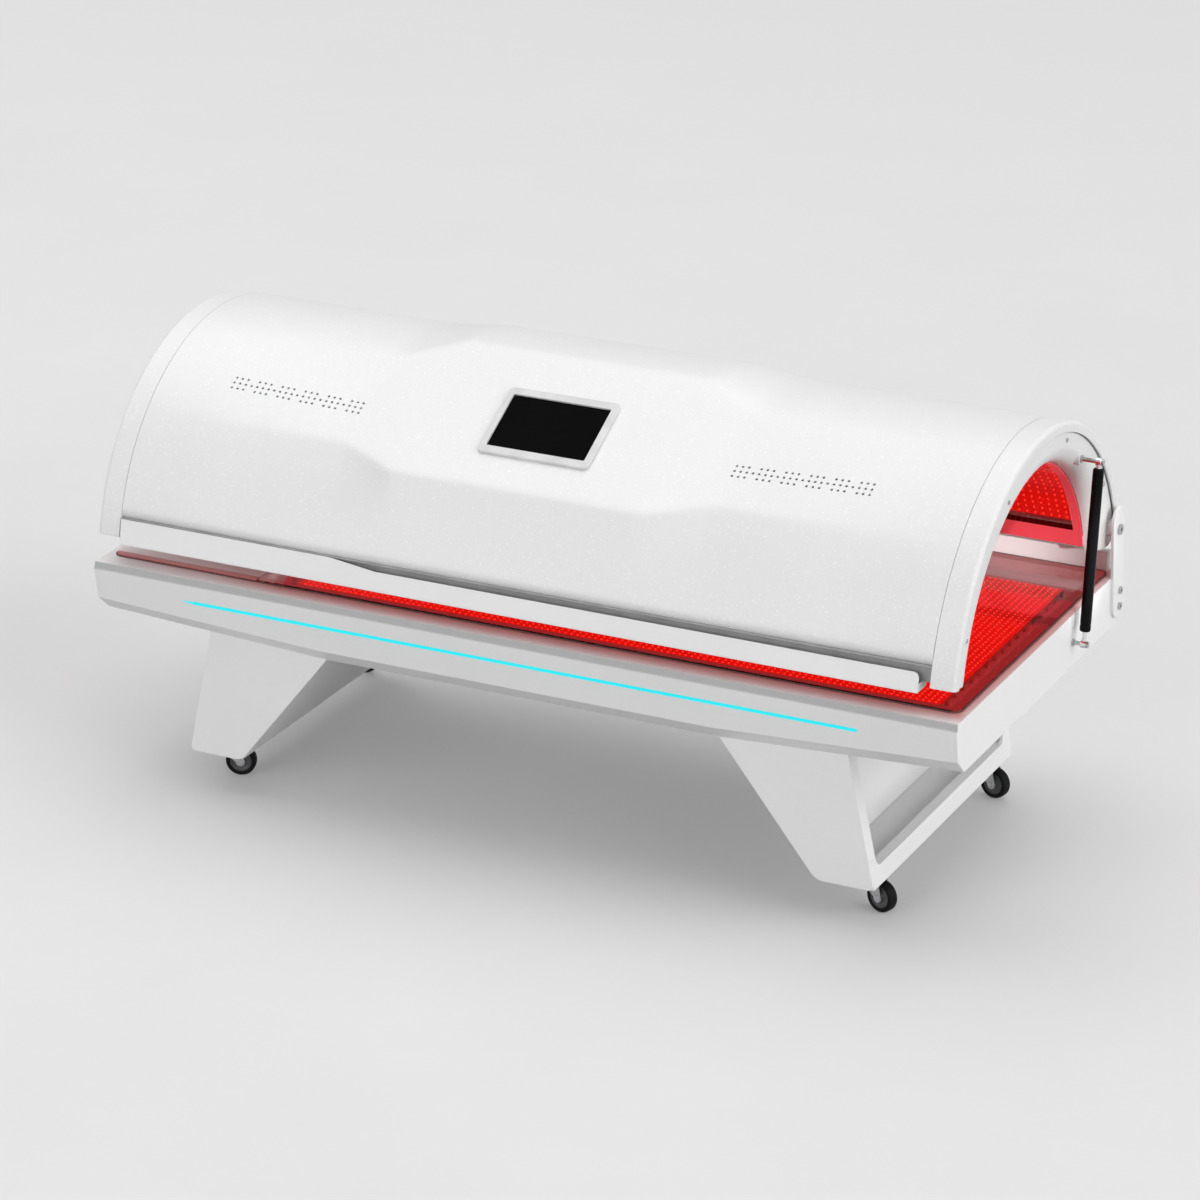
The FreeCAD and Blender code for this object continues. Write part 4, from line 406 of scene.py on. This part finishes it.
def make_finishes(colours):
    board = (0.20, 0.003, 0.002)
    return {
        "white_coat": white_finish("white_coat", colours.coat, 0.25, 0.0013, 0.36),
        "casing_coat": white_finish("casing_coat", colours.coat, 0.25, 0.0013, 0.36, colours.shade_band,
                                    colours.painted_glow),
        "white_moulding": white_finish("white_moulding", colours.moulding, 0.5, 0.0018, 0.29),
        "frame_steel": plain_finish("frame_steel", colours.steel, 0.5),
        "deck_frame": frame_finish("deck_frame", colours.steel, colours.lamp_glow_paint),
        "beam_steel": plain_finish("beam_steel", colours.beam, 0.55),
        "bed_board": lit_finish("bed_board", board, colours.lamp_red, 0.60, 5.0, 0.85, "up"),
        "canopy_board": lit_finish("canopy_board", board, colours.lamp_red, 0.60, 5.0, 0.85, "axis"),
        "lamp_crown": lit_finish("lamp_crown", (0.6, 0.05, 0.03), colours.lamp_hot, 1.9, 90.0, 0.7),
        "heatsink": plain_finish("heatsink", (0.46, 0.47, 0.48), 0.38, 0.9, stretch=(0.2, 1.0, 1.0)),
        "clear_acrylic": clear_finish("clear_acrylic", colours.acrylic, 0.015, 0.06),
        "lining": lining_finish("lining", colours.acrylic, colours.rim_red_light),
        "tinted_acrylic": milky_finish("tinted_acrylic", colours.head, colours.head_edge_glow),
        "seal_rubber": plain_finish("seal_rubber", (0.16, 0.07, 0.07), 0.62),
        "accent_lens": lit_finish("accent_lens", (0.0, 0.02, 0.02), colours.accent, 1.0, 3.0, 0.95),
        "supply_case": plain_finish("supply_case", (0.62, 0.63, 0.64), 0.36, 0.85, stretch=(0.15, 1.0, 1.0)),
        "black_plastic": plain_finish("black_plastic", (0.012, 0.012, 0.012), 0.5, shine=0.2),
        "bright_steel": plain_finish("bright_steel", (0.50, 0.50, 0.51), 0.18, 1.0, 120.0),
        "strut_black": plain_finish("strut_black", (0.006, 0.006, 0.007), 0.12, 0.0, 90.0, 0.0001,
                                    shine=0.05),
        "rod_chrome": plain_finish("rod_chrome", (0.80, 0.81, 0.82), 0.10, 1.0, 150.0, 0.0001, 0.1, 0.0006),
        "castor_steel": plain_finish("castor_steel", (0.58, 0.59, 0.60), 0.30, 0.9, 110.0),
        "pedal_plastic": plain_finish("pedal_plastic", (0.30, 0.02, 0.02), 0.45),
        "castor_tread": plain_finish("castor_tread", colours.tyre, 0.5, 0.0, 80.0, shine=0.10),
        "castor_hub": plain_finish("castor_hub", (0.10, 0.10, 0.105), 0.45, 0.0, 80.0),
        "bezel_plastic": plain_finish("bezel_plastic", (0.72, 0.72, 0.72), 0.36),
        "screen_glass": plain_finish("screen_glass", (0.003, 0.003, 0.003), 0.12, 0.0, 20.0, 0.00005, 0.05,
                                     0.0006, shine=0.01),
    }


# Modelling helpers.
def clear_selection():
    if bpy.context.object is not None and bpy.context.object.mode != "OBJECT":
        bpy.ops.object.mode_set(mode="OBJECT")
    bpy.ops.object.select_all(action="DESELECT")


def take(name):
    piece = bpy.context.object
    piece.name = name
    piece.data.name = name
    return piece


def only(piece):
    clear_selection()
    piece.select_set(True)
    bpy.context.view_layer.objects.active = piece


def pick_faces(piece, wanted):
    bpy.ops.object.mode_set(mode="EDIT")
    bpy.ops.mesh.select_mode(type="FACE")
    bpy.ops.mesh.select_all(action="DESELECT")
    mesh = bmesh.from_edit_mesh(piece.data)
    for face in mesh.faces:
        face.select_set(wanted(face.calc_center_median(), face.normal))
    bmesh.update_edit_mesh(piece.data)


def edit_whole(piece, operation, **settings):
    """Runs one edit-mode operator on all of a piece."""
    only(piece)
    bpy.ops.object.mode_set(mode="EDIT")
    bpy.ops.mesh.select_all(action="SELECT")
    operation(**settings)
    bpy.ops.object.mode_set(mode="OBJECT")


def apply_modifier(piece, kind, **settings):
    only(piece)
    modifier = piece.modifiers.new(kind.title(), kind)
    for key, value in settings.items():
        setattr(modifier, key, value)
    bpy.ops.object.modifier_apply(modifier=modifier.name)


def copy_piece(piece, name):
    only(piece)
    bpy.ops.object.duplicate()
    return take(name)


def join_pieces(pieces, name):
    clear_selection()
    for piece in pieces:
        piece.select_set(True)
    bpy.context.view_layer.objects.active = pieces[0]
    bpy.ops.object.join()
    return take(name)


def settle(piece, body, finish, replaced=()):
    only(piece)
    bpy.ops.object.transform_apply(location=True, rotation=True, scale=True)
    piece.data.materials.clear()
    piece.data.materials.append(bpy.data.materials[FINISH + finish])
    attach(piece, body)
    if replaced:
        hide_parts(*replaced)
    return piece


def lathe(name, points, steps=48):
    """Draws a profile of (radius, height) points by extruding one vertex, then spins it about Z."""
    clear_selection()
    bpy.ops.mesh.primitive_plane_add(size=0.01)
    piece = take(name)
    bpy.ops.object.mode_set(mode="EDIT")
    bpy.ops.mesh.select_mode(type="VERT")
    bpy.ops.mesh.select_all(action="SELECT")
    bpy.ops.mesh.merge(type="CENTER")
    last = Vector((points[0][0], 0.0, points[0][1]))
    bpy.ops.transform.translate(value=last)
    for radius, height in points[1:]:
        step = Vector((radius, 0.0, height)) - last
        bpy.ops.mesh.extrude_region_move(TRANSFORM_OT_translate={"value": step})
        last = last + step
    bpy.ops.mesh.select_all(action="SELECT")
    bpy.ops.mesh.spin(steps=steps, angle=math.tau, center=(0.0, 0.0, 0.0), axis=(0.0, 0.0, 1.0))
    bpy.ops.mesh.select_all(action="SELECT")
    bpy.ops.mesh.remove_doubles(threshold=0.00002)
    bpy.ops.mesh.normals_make_consistent(inside=False)
    bpy.ops.object.mode_set(mode="OBJECT")
    bpy.ops.object.shade_smooth_by_angle(angle=math.radians(32.0))
    return piece


class LIGHTBED_OT_finishes(bpy.types.Operator):
    """Makes the finishes and gives every frame part its own"""
    bl_idname = "lightbed.finishes"
    bl_label = "Finishes"

    def execute(self, context):
        finishes = make_finishes(context.scene.bed_colours)
        for name, node in frame["nodes"].items():
            node.data.materials.clear()
            node.data.materials.append(finishes[OWN_FINISH.get(name, NODE_SLOTS[name])])
        return {"FINISHED"}


# Lamps: sides of the body, its share of the height, and the crown's share of the width.
LAMP_SIDES = 6
LAMP_BODY = 0.55
LAMP_CROWN = 0.6


def one_lamp(sizes, place, up):
    """A six-sided lamp body with a narrower crown, on its board at place."""
    clear_selection()
    low = sizes.lamp_height * LAMP_BODY
    bpy.ops.mesh.primitive_cylinder_add(vertices=LAMP_SIDES, radius=sizes.lamp_radius, depth=low,
                                        location=place + Vector((0, 0, up * low / 2)))
    lamp = take("lamp")
    bpy.ops.object.transform_apply(location=True, rotation=True, scale=True)
    pick_faces(lamp, lambda centre, normal: normal.z * up > 0.9)
    rise = up * (sizes.lamp_height - low)
    bpy.ops.mesh.extrude_region_move(TRANSFORM_OT_translate={"value": (0, 0, rise)})
    top = place + Vector((0, 0, up * sizes.lamp_height))
    bpy.ops.transform.resize(value=(LAMP_CROWN, LAMP_CROWN, 1.0), center_override=top)
    bpy.ops.object.mode_set(mode="OBJECT")
    return lamp


def lamp_field(lamp, across, along, count_x, count_y):
    apply_modifier(lamp, "ARRAY", count=count_x, use_relative_offset=False, use_constant_offset=True,
                   constant_offset_displace=(along, 0.0, 0.0))
    apply_modifier(lamp, "ARRAY", count=count_y, use_relative_offset=False, use_constant_offset=True,
                   constant_offset_displace=(0.0, across, 0.0))


class LIGHTBED_OT_bed_lamps(bpy.types.Operator):
    """Rows of lamps on the boards under the deck"""
    bl_idname = "lightbed.bed_lamps"
    bl_label = "Bed lamps"

    def execute(self, context):
        sizes = context.scene.bed_sizes
        low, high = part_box("bed_led_boards")
        count_x = int((high.x - low.x) / sizes.lamp_pitch)
        count_y = int((high.y - low.y) / sizes.lamp_row)
        start_x = (low.x + high.x - (count_x - 1) * sizes.lamp_pitch) / 2
        start_y = (low.y + high.y - (count_y - 1) * sizes.lamp_row) / 2
        lamp = one_lamp(sizes, Vector((start_x, start_y, high.z)), 1)
        lamp_field(lamp, sizes.lamp_row, sizes.lamp_pitch, count_x, count_y)
        lamp.name = "bed_lamps"
        settle(lamp, "base", "lamp_crown")
        return {"FINISHED"}


class LIGHTBED_OT_canopy_lamps(bpy.types.Operator):
    """Rows of lamps on the boards round the canopy"""
    bl_idname = "lightbed.canopy_lamps"
    bl_label = "Canopy lamps"
    board_face = 0.435
    board_width = 0.1139
    board_turns = 9
    turn_step = math.radians(15.0)

    def execute(self, context):
        sizes = context.scene.bed_sizes
        low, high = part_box("canopy_led_boards")
        count = int((high.x - low.x) / sizes.hood_pitch)
        row = self.board_width / sizes.hood_rows
        start = Vector((-(count - 1) * sizes.hood_pitch / 2, -(sizes.hood_rows - 1) * row / 2,
                        AXIS_Z + self.board_face))
        lamp = one_lamp(sizes, start, -1)
        lamp_field(lamp, row, sizes.hood_pitch, count, sizes.hood_rows)
        fields = [lamp]
        for i in range(1, self.board_turns // 2 + 1):
            for side in (-1, 1):
                field = copy_piece(lamp, "canopy_lamps")
                edit_whole(field, bpy.ops.transform.rotate, value=side * i * self.turn_step, orient_axis="X",
                           center_override=(0.0, 0.0, AXIS_Z))
                fields.append(field)
        settle(join_pieces(fields, "canopy_lamps"), "canopy", "lamp_crown")
        return {"FINISHED"}


# Canopy skin: stations along the bed, each with marks of (turn from the top in degrees, radius).
BARREL_R = 0.529
FACET_R = 0.500
FACET_TURN = 28.75
FACE_X = -0.030
POD_HALF = 0.322
POD_FOOT = 0.465
CROWN_END = -50.0
HIP_TURN = -64.0
FRONT_EDGE_Z = 0.688
REAR_EDGE_Z = 0.658
ROLL_R = 0.022
ROLL_STEPS = 7
ROLL_TURN = math.radians(100.0)
SKIN_FRONT = math.degrees(math.acos((FRONT_EDGE_Z - AXIS_Z) / BARREL_R) - ROLL_R / BARREL_R)
SKIN_REAR = -math.degrees(math.acos((REAR_EDGE_Z - AXIS_Z) / BARREL_R))
ROW_COUNTS = (30, 28, 40, 16)
SKIN_HALF = 1.030
SKIN_STEP = 0.010
CROWN_POINT = Vector((0.0, 0.0, 1.09))
CUT_DEPTH = 0.08
VENT_X = 0.647
VENT_Y = -0.036
VENT_COLUMNS = 23
VENT_GROUP = 4
WINDOW_Y = -0.005
WINDOW_SIZE = (0.263, 0.175, 0.12)


def facet_turn(radius):
    return math.degrees(math.acos(FACET_R / radius))


def skin_marks(low_r, high_r, waist_r, facet_r, crown_r, crown_turn, hip_r):
    low = FACET_TURN + facet_turn(low_r)
    high = FACET_TURN - facet_turn(high_r)
    return [(SKIN_FRONT, BARREL_R), ((SKIN_FRONT + low) / 2, waist_r), (low, low_r), (FACET_TURN, facet_r),
            (high, high_r), (crown_turn, crown_r), (CROWN_END, crown_r), (HIP_TURN, hip_r),
            (SKIN_REAR, BARREL_R)]


FLAT_MARKS = skin_marks(0.520, 0.518, 0.518, 0.5015, 0.530, -18.0, 0.530)
ROUND_MARKS = [(mark[0], BARREL_R) for mark in FLAT_MARKS]
POD_MARKS = skin_marks(0.540, 0.546, 0.526, 0.5010, 0.546, -20.0, 0.541)
SKIN_STATIONS = ((-SKIN_HALF, ROUND_MARKS), (FACE_X - POD_FOOT, FLAT_MARKS), (FACE_X - POD_HALF, POD_MARKS),
                 (FACE_X + POD_HALF, POD_MARKS), (FACE_X + POD_FOOT, FLAT_MARKS), (SKIN_HALF, ROUND_MARKS))


def rolled_edge(first, second):
    """Points that roll the front edge in, from its hidden lip to the first point of the face."""
    down = (first - second).normalized()
    inward = Vector((-down.y, down.x))
    centre = first + inward * ROLL_R
    points = []
    for i in range(ROLL_STEPS, 0, -1):
        turn = ROLL_TURN * i / ROLL_STEPS
        points.append(centre + (down * math.sin(turn) - inward * math.cos(turn)) * ROLL_R)
    return points


def skin_row(marks):
    """Points of one section, front edge to rear edge, as (y, z)."""
    points = []
    for span, count in enumerate(ROW_COUNTS):
        (a0, r0), (a1, r1), (a2, r2) = marks[2 * span:2 * span + 3]
        last = count + 1 if span == len(ROW_COUNTS) - 1 else count
        for i in range(last):
            turn = a0 + (a2 - a0) * i / count
            p0 = (turn - a1) * (turn - a2) / ((a0 - a1) * (a0 - a2))
            p1 = (turn - a0) * (turn - a2) / ((a1 - a0) * (a1 - a2))
            p2 = (turn - a0) * (turn - a1) / ((a2 - a0) * (a2 - a1))
            radius = r0 * p0 + r1 * p1 + r2 * p2
            angle = math.radians(turn)
            points.append(Vector((-radius * math.sin(angle), AXIS_Z + radius * math.cos(angle))))
    return rolled_edge(points[0], points[1]) + points


def skin_point(rows, x, j):
    for (x0, row0), (x1, row1) in zip(rows, rows[1:]):
        if x <= x1 + 1e-9:
            place = row0[j].lerp(row1[j], (x - x0) / (x1 - x0))
            return Vector((x, place.x, place.y))
    raise RuntimeError("the canopy skin has no station at this place")


def facet_frame(piece):
    piece.rotation_euler = (math.radians(FACET_TURN), 0.0, 0.0)
    piece.location = (FACE_X, 0.0, AXIS_Z)
    only(piece)
    bpy.ops.object.transform_apply(location=True, rotation=True, scale=True)


def vent_cutter(sizes):
    """One drilled field of holes as a cutter, then its twin on the other side."""
    clear_selection()
    bpy.ops.mesh.primitive_cylinder_add(vertices=14, radius=sizes.vent / 2, depth=CUT_DEPTH)
    hole = take("vent_cutter")
    holes = []
    for side in (-1, 1):
        for i in range(VENT_COLUMNS):
            single = i % VENT_GROUP == VENT_GROUP - 1
            along = side * VENT_X + (i - VENT_COLUMNS // 2) * sizes.vent_pitch
            for j in ((0,) if single else (-1, 0, 1)):
                one = copy_piece(hole, "vent_hole")
                one.location = (along, VENT_Y + j * sizes.vent_pitch, FACET_R)
                holes.append(one)
    bpy.data.objects.remove(hole)
    cutter = join_pieces(holes, "vent_cutter")
    bpy.ops.object.transform_apply(location=True, rotation=True, scale=True)
    facet_frame(cutter)
    return cutter


class LIGHTBED_OT_canopy_skin(bpy.types.Operator):
    """The canopy's moulded skin, with softened folds, the screen window and the vents"""
    bl_idname = "lightbed.canopy_skin"
    bl_label = "Canopy skin"

    def execute(self, context):
        sizes = context.scene.bed_sizes
        rows = [(x, skin_row(marks)) for x, marks in SKIN_STATIONS]
        columns = round(2 * SKIN_HALF / SKIN_STEP)
        count = len(rows[0][1])
        clear_selection()
        bpy.ops.mesh.primitive_grid_add(x_subdivisions=columns, y_subdivisions=count - 1, size=2.0)
        skin = take("canopy_skin")
        for vertex in skin.data.vertices:
            i = round((vertex.co.x + 1.0) / 2.0 * columns)
            j = round((vertex.co.y + 1.0) / 2.0 * (count - 1))
            vertex.co = skin_point(rows, -SKIN_HALF + i * 2 * SKIN_HALF / columns, j)
        apply_modifier(skin, "CORRECTIVE_SMOOTH", use_only_smooth=True, use_pin_boundary=True, iterations=2,
                       factor=0.5)
        edit_whole(skin, bpy.ops.mesh.normals_make_consistent, inside=False)
        middle = min(skin.data.polygons, key=lambda face: (face.center - CROWN_POINT).length)
        if middle.normal.z < 0:
            edit_whole(skin, bpy.ops.mesh.flip_normals)
        apply_modifier(skin, "SOLIDIFY", thickness=sizes.skin, offset=-1.0, use_even_offset=True)
        clear_selection()
        bpy.ops.mesh.primitive_cube_add(size=1.0, location=(0.0, WINDOW_Y, FACET_R))
        window = take("window_cutter")
        window.scale = WINDOW_SIZE
        bpy.ops.object.transform_apply(location=True, rotation=True, scale=True)
        facet_frame(window)
        vents = vent_cutter(sizes)
        for cutter in (window, vents):
            apply_modifier(skin, "BOOLEAN", operation="DIFFERENCE", solver="EXACT", object=cutter)
            bpy.data.objects.remove(cutter)
        only(skin)
        bpy.ops.object.shade_smooth_by_angle(angle=math.radians(30.0))
        settle(skin, "canopy", "white_moulding", ("canopy_shell",))
        return {"FINISHED"}


# Gas struts: the tube leans from the base's stud to the canopy's.
STRUT_X = 1.128
STRUT_LOW = (0.190, 0.500)
STRUT_TOP = (0.23899, 0.93150)
STRUT_L = math.hypot(STRUT_TOP[0] - STRUT_LOW[0], STRUT_TOP[1] - STRUT_LOW[1])
TUBE_TO_EYE = 0.015


def strut_place(piece, side):
    lean = math.atan2(STRUT_LOW[0] - STRUT_TOP[0], STRUT_TOP[1] - STRUT_LOW[1])
    piece.rotation_euler = (lean, 0.0, 0.0)
    piece.location = (side * STRUT_X, STRUT_LOW[0], STRUT_LOW[1])


class LIGHTBED_OT_struts(bpy.types.Operator):
    """Gas strut tubes with a rolled gland end, and their bright top eyes"""
    bl_idname = "lightbed.struts"
    bl_label = "Gas struts"

    def execute(self, context):
        top = STRUT_L - TUBE_TO_EYE
        tube = lathe("strut_tube", [(0.0, top), (0.0085, top), (0.0112, top - 0.0012), (0.0125, top - 0.0035),
                                    (0.0130, top - 0.0075), (0.0130, 0.0500), (0.0127, 0.0492),
                                    (0.0121, 0.0486), (0.0121, 0.0472), (0.0127, 0.0466),
                                    (0.0130, 0.0458), (0.0130, 0.0375),
                                    (0.0125, 0.0340), (0.0112, 0.0318), (0.0092, 0.0310), (0.0056, 0.0310),
                                    (0.0056, 0.0390), (0.0108, 0.0390), (0.0108, top - 0.012),
                                    (0.0, top - 0.012)])
        neck = lathe("strut_neck", [(0.0, top + 0.0080), (0.0052, top + 0.0080), (0.0060, top + 0.0070),
                                    (0.0060, top + 0.0045), (0.0052, top + 0.0038), (0.0052, top + 0.0030),
                                    (0.0078, top + 0.0024), (0.0078, top + 0.0002), (0.0, top + 0.0002)], 24)
        eye = lathe("strut_eye", [(0.0052, -0.0070), (0.0080, -0.0070), (0.0090, -0.0060), (0.0090, 0.0060),
                                  (0.0080, 0.0070), (0.0052, 0.0070), (0.0052, -0.0070)], 32)
        eye.rotation_euler = (0.0, math.pi / 2, 0.0)
        eye.location = (0.0, 0.0, STRUT_L)
        only(eye)
        bpy.ops.object.transform_apply(location=True, rotation=True, scale=True)
        eye = join_pieces([eye, neck], "strut_eye")
        for name, side in SIDES:
            body = "strut_cylinder_" + name
            piece = copy_piece(tube, "strut_tube_" + name)
            strut_place(piece, side)
            settle(piece, body, "strut_black", (body,))
            piece = copy_piece(eye, "strut_eye_" + name)
            strut_place(piece, side)
            settle(piece, body, "rod_chrome")
        bpy.data.objects.remove(tube)
        bpy.data.objects.remove(eye)
        return {"FINISHED"}


def rest_turn(joint):
    """Turn about Z of a hinge whose axis lies along Y when it isn't turned."""
    for item in frame["record"]["behaviour"]["joints"]:
        if item["name"] == joint:
            return math.atan2(-item["axis"][0], item["axis"][1])
    raise RuntimeError("the record has no joint " + joint)


def mirrored(half):
    """Closed profile of a wheel, from its upper half."""
    return half + [(radius, -height) for radius, height in reversed(half)] + [half[0]]


class LIGHTBED_OT_castors(bpy.types.Operator):
    """Castor tyres with a parting groove, and dished hubs"""
    bl_idname = "lightbed.castors"
    bl_label = "Castor wheels"

    def execute(self, context):
        tyre = lathe("castor_tyre", mirrored([(0.0265, 0.0108), (0.0290, 0.0118), (0.0330, 0.0124),
                                              (0.0355, 0.0115), (0.0368, 0.0092), (0.0374, 0.0055),
                                              (0.0375, 0.0012), (0.0368, 0.0004)]), 56)
        hub = lathe("castor_hub", mirrored([(0.0043, 0.0144), (0.0098, 0.0144), (0.0112, 0.0136),
                                            (0.0118, 0.0100), (0.0135, 0.0078), (0.0205, 0.0070),
                                            (0.0228, 0.0082), (0.0240, 0.0104), (0.0262, 0.0106)]), 48)
        for corner in CORNERS:
            body = "castor_wheel_" + corner
            low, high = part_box(body)
            for part, finish, replaced in ((tyre, "castor_tread", (body,)), (hub, "castor_hub", ())):
                piece = copy_piece(part, part.name + "_" + corner)
                piece.rotation_euler = (math.pi / 2, 0.0, rest_turn("castor_roll_" + corner))
                piece.location = (low + high) / 2
                settle(piece, body, finish, replaced)
        bpy.data.objects.remove(tyre)
        bpy.data.objects.remove(hub)
        return {"FINISHED"}


# Soft boxes: direction, half width and soft rim in degrees.
TOP_BOX = ((-0.18, 0.22, 0.96), 25.0, 14.0)
FRONT_BOX = ((-0.35, -0.92, 0.18), 18.0, 14.0)
SIDE_BOX = ((0.97, -0.08, 0.22), 26.0, 16.0)
FLOOR_SIZE = 90.0
FLOOR_FAR_SHADE = (2.0, 8.0)

# Lamp at the tunnel's mouth: where it aims along the rail and below its top, from where, how wide.
MOUTH_X = 0.73
MOUTH_DROP = 0.045
MOUTH_WAY = Vector((0.85, -0.54, 0.27)).normalized()
MOUTH_REACH = 3.5
MOUTH_CONE = math.radians(6.4)
MOUTH_SOURCE = 0.06

CAMERA_TARGET = Vector((-0.022, 0.0, 0.474))
SENSOR_WIDTH = 36.0


def soft_box(tree, way, axis, wide, soft, level):
    """Level of one soft box, seen along a direction of the sky."""
    node = tree.nodes.new("ShaderNodeVectorMath")
    node.operation = "DOT_PRODUCT"
    tree.links.new(way, node.inputs[0])
    node.inputs[1].default_value = Vector(axis).normalized()
    rim = math.cos(math.radians(wide + soft))
    return spread(tree, node.outputs["Value"], 0.0, level, rim, math.cos(math.radians(wide)))


def studio_sky(context, stage):
    """Even light with three soft boxes; the camera itself sees a plain pale backdrop."""
    world = bpy.data.worlds.new("studio_sky")
    context.scene.world = world
    world.use_nodes = True
    tree = world.node_tree
    tree.nodes.clear()
    way = tree.nodes.new("ShaderNodeTexCoord").outputs["Generated"]
    boxes = [soft_box(tree, way, *TOP_BOX, stage.top_box), soft_box(tree, way, *FRONT_BOX, stage.front_box),
             soft_box(tree, way, *SIDE_BOX, stage.side_box)]
    light = tree.nodes.new("ShaderNodeMath")
    light.operation = "ADD"
    tree.links.new(combine(tree, "ADD", *boxes), light.inputs[0])
    light.inputs[1].default_value = stage.sky
    ray = tree.nodes.new("ShaderNodeLightPath").outputs
    plain = spread(tree, ray["Is Camera Ray"], 0.0, stage.backdrop, 0.0, 1.0)
    passed = combine(tree, "MAXIMUM", ray["Is Glossy Ray"], ray["Is Transmission Ray"])
    passed = spread(tree, passed, 0.0, stage.backdrop, 0.0, 1.0)
    lighter = combine(tree, "MAXIMUM", light.outputs[0], passed)
    seen = tree.nodes.new("ShaderNodeMix")
    tree.links.new(ray["Is Camera Ray"], seen.inputs[0])
    tree.links.new(lighter, seen.inputs[2])
    tree.links.new(plain, seen.inputs[3])
    back = tree.nodes.new("ShaderNodeBackground")
    tree.links.new(seen.outputs[0], back.inputs["Strength"])
    out = tree.nodes.new("ShaderNodeOutputWorld")
    tree.links.new(back.outputs[0], out.inputs["Surface"])


def studio_floor(stage):
    """Pale floor, painted darker towards the back as shade, that keeps a soft shadow."""
    clear_selection()
    bpy.ops.mesh.primitive_plane_add(size=FLOOR_SIZE, location=(0.0, 0.0, 0.0))
    floor = take("studio_floor")
    finish, tree, shader, place = new_finish("studio_floor")
    # painted shade: the floor darkens towards the back
    far_shade = spread(tree, axes(tree, place)[1], 0.0, 1.0, *FLOOR_FAR_SHADE)
    near = clouded(tree, place, 1.5, 3.0, stage.floor, 0.97)
    seen = mixed(tree, far_shade, near, shade(stage.floor, 0.90))
    ray = tree.nodes.new("ShaderNodeLightPath").outputs
    shown = combine(tree, "MAXIMUM", ray["Is Camera Ray"], ray["Is Glossy Ray"], ray["Is Transmission Ray"])
    tree.links.new(mixed(tree, shown, stage.bounce, seen), shader.inputs["Base Color"])
    shader.inputs["Emission Color"].default_value = (*stage.haze, 1.0)
    tree.links.new(shown, shader.inputs["Emission Strength"])
    shader.inputs["Roughness"].default_value = 0.7
    shader.inputs["Specular IOR Level"].default_value = 0.1
    floor.data.materials.append(finish)


def mouth_light(stage):
    """A narrow lamp that shines through the tunnel's mouth on the rail at the back."""
    low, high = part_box("rear_rail")
    target = Vector((MOUTH_X, low.y, high.z - MOUTH_DROP))
    bpy.ops.object.light_add(type="SPOT", location=target + MOUTH_WAY * MOUTH_REACH)
    lamp = bpy.context.object
    lamp.name = "mouth_light"
    lamp.rotation_euler = (-MOUTH_WAY).to_track_quat("-Z", "Y").to_euler()
    lamp.data.energy = stage.mouth_lamp
    lamp.data.spot_size = MOUTH_CONE
    lamp.data.spot_blend = 1.0
    lamp.data.shadow_soft_size = MOUTH_SOURCE


class LIGHTBED_OT_stage(bpy.types.Operator):
    """Pale floor, soft light, the lamp at the tunnel's mouth and the camera"""
    bl_idname = "lightbed.stage"
    bl_label = "Studio"

    def execute(self, context):
        stage = context.scene.bed_stage
        studio_floor(stage)
        studio_sky(context, stage)
        mouth_light(stage)
        level = math.cos(stage.rise)
        back = Vector((math.sin(stage.turn) * level, -math.cos(stage.turn) * level, math.sin(stage.rise)))
        bpy.ops.object.camera_add(location=CAMERA_TARGET + back * stage.reach)
        camera = bpy.context.object
        camera.rotation_euler = (-back).to_track_quat("-Z", "Y").to_euler()
        camera.data.sensor_width = SENSOR_WIDTH
        camera.data.lens = stage.lens
        context.scene.camera = camera
        context.scene.view_settings.view_transform = "Standard"
        return {"FINISHED"}


class LIGHTBED_PT_sidebar(bpy.types.Panel):
    """Lists the steps that dress the light bed"""
    bl_label = "Light bed"
    bl_space_type = "VIEW_3D"
    bl_region_type = "UI"
    bl_category = "Light bed"

    def draw(self, context):
        for step in STEPS:
            self.layout.operator(step.bl_idname)


STEPS = (LIGHTBED_OT_finishes, LIGHTBED_OT_bed_lamps, LIGHTBED_OT_canopy_lamps, LIGHTBED_OT_canopy_skin,
         LIGHTBED_OT_struts, LIGHTBED_OT_castors, LIGHTBED_OT_stage)
CLASSES = (BedColours, BedSizes, BedStage) + STEPS + (LIGHTBED_PT_sidebar,)


def register():
    for item in CLASSES:
        bpy.utils.register_class(item)
    bpy.types.Scene.bed_colours = PointerProperty(type=BedColours)
    bpy.types.Scene.bed_sizes = PointerProperty(type=BedSizes)
    bpy.types.Scene.bed_stage = PointerProperty(type=BedStage)


def unregister():
    del bpy.types.Scene.bed_colours
    del bpy.types.Scene.bed_sizes
    del bpy.types.Scene.bed_stage
    for item in reversed(CLASSES):
        bpy.utils.unregister_class(item)


def main():
    register()
    bpy.ops.lightbed.finishes()
    bpy.ops.lightbed.bed_lamps()
    bpy.ops.lightbed.canopy_lamps()
    bpy.ops.lightbed.canopy_skin()
    bpy.ops.lightbed.struts()
    bpy.ops.lightbed.castors()
    bpy.ops.lightbed.stage()


if __name__ == "__main__":
    main()
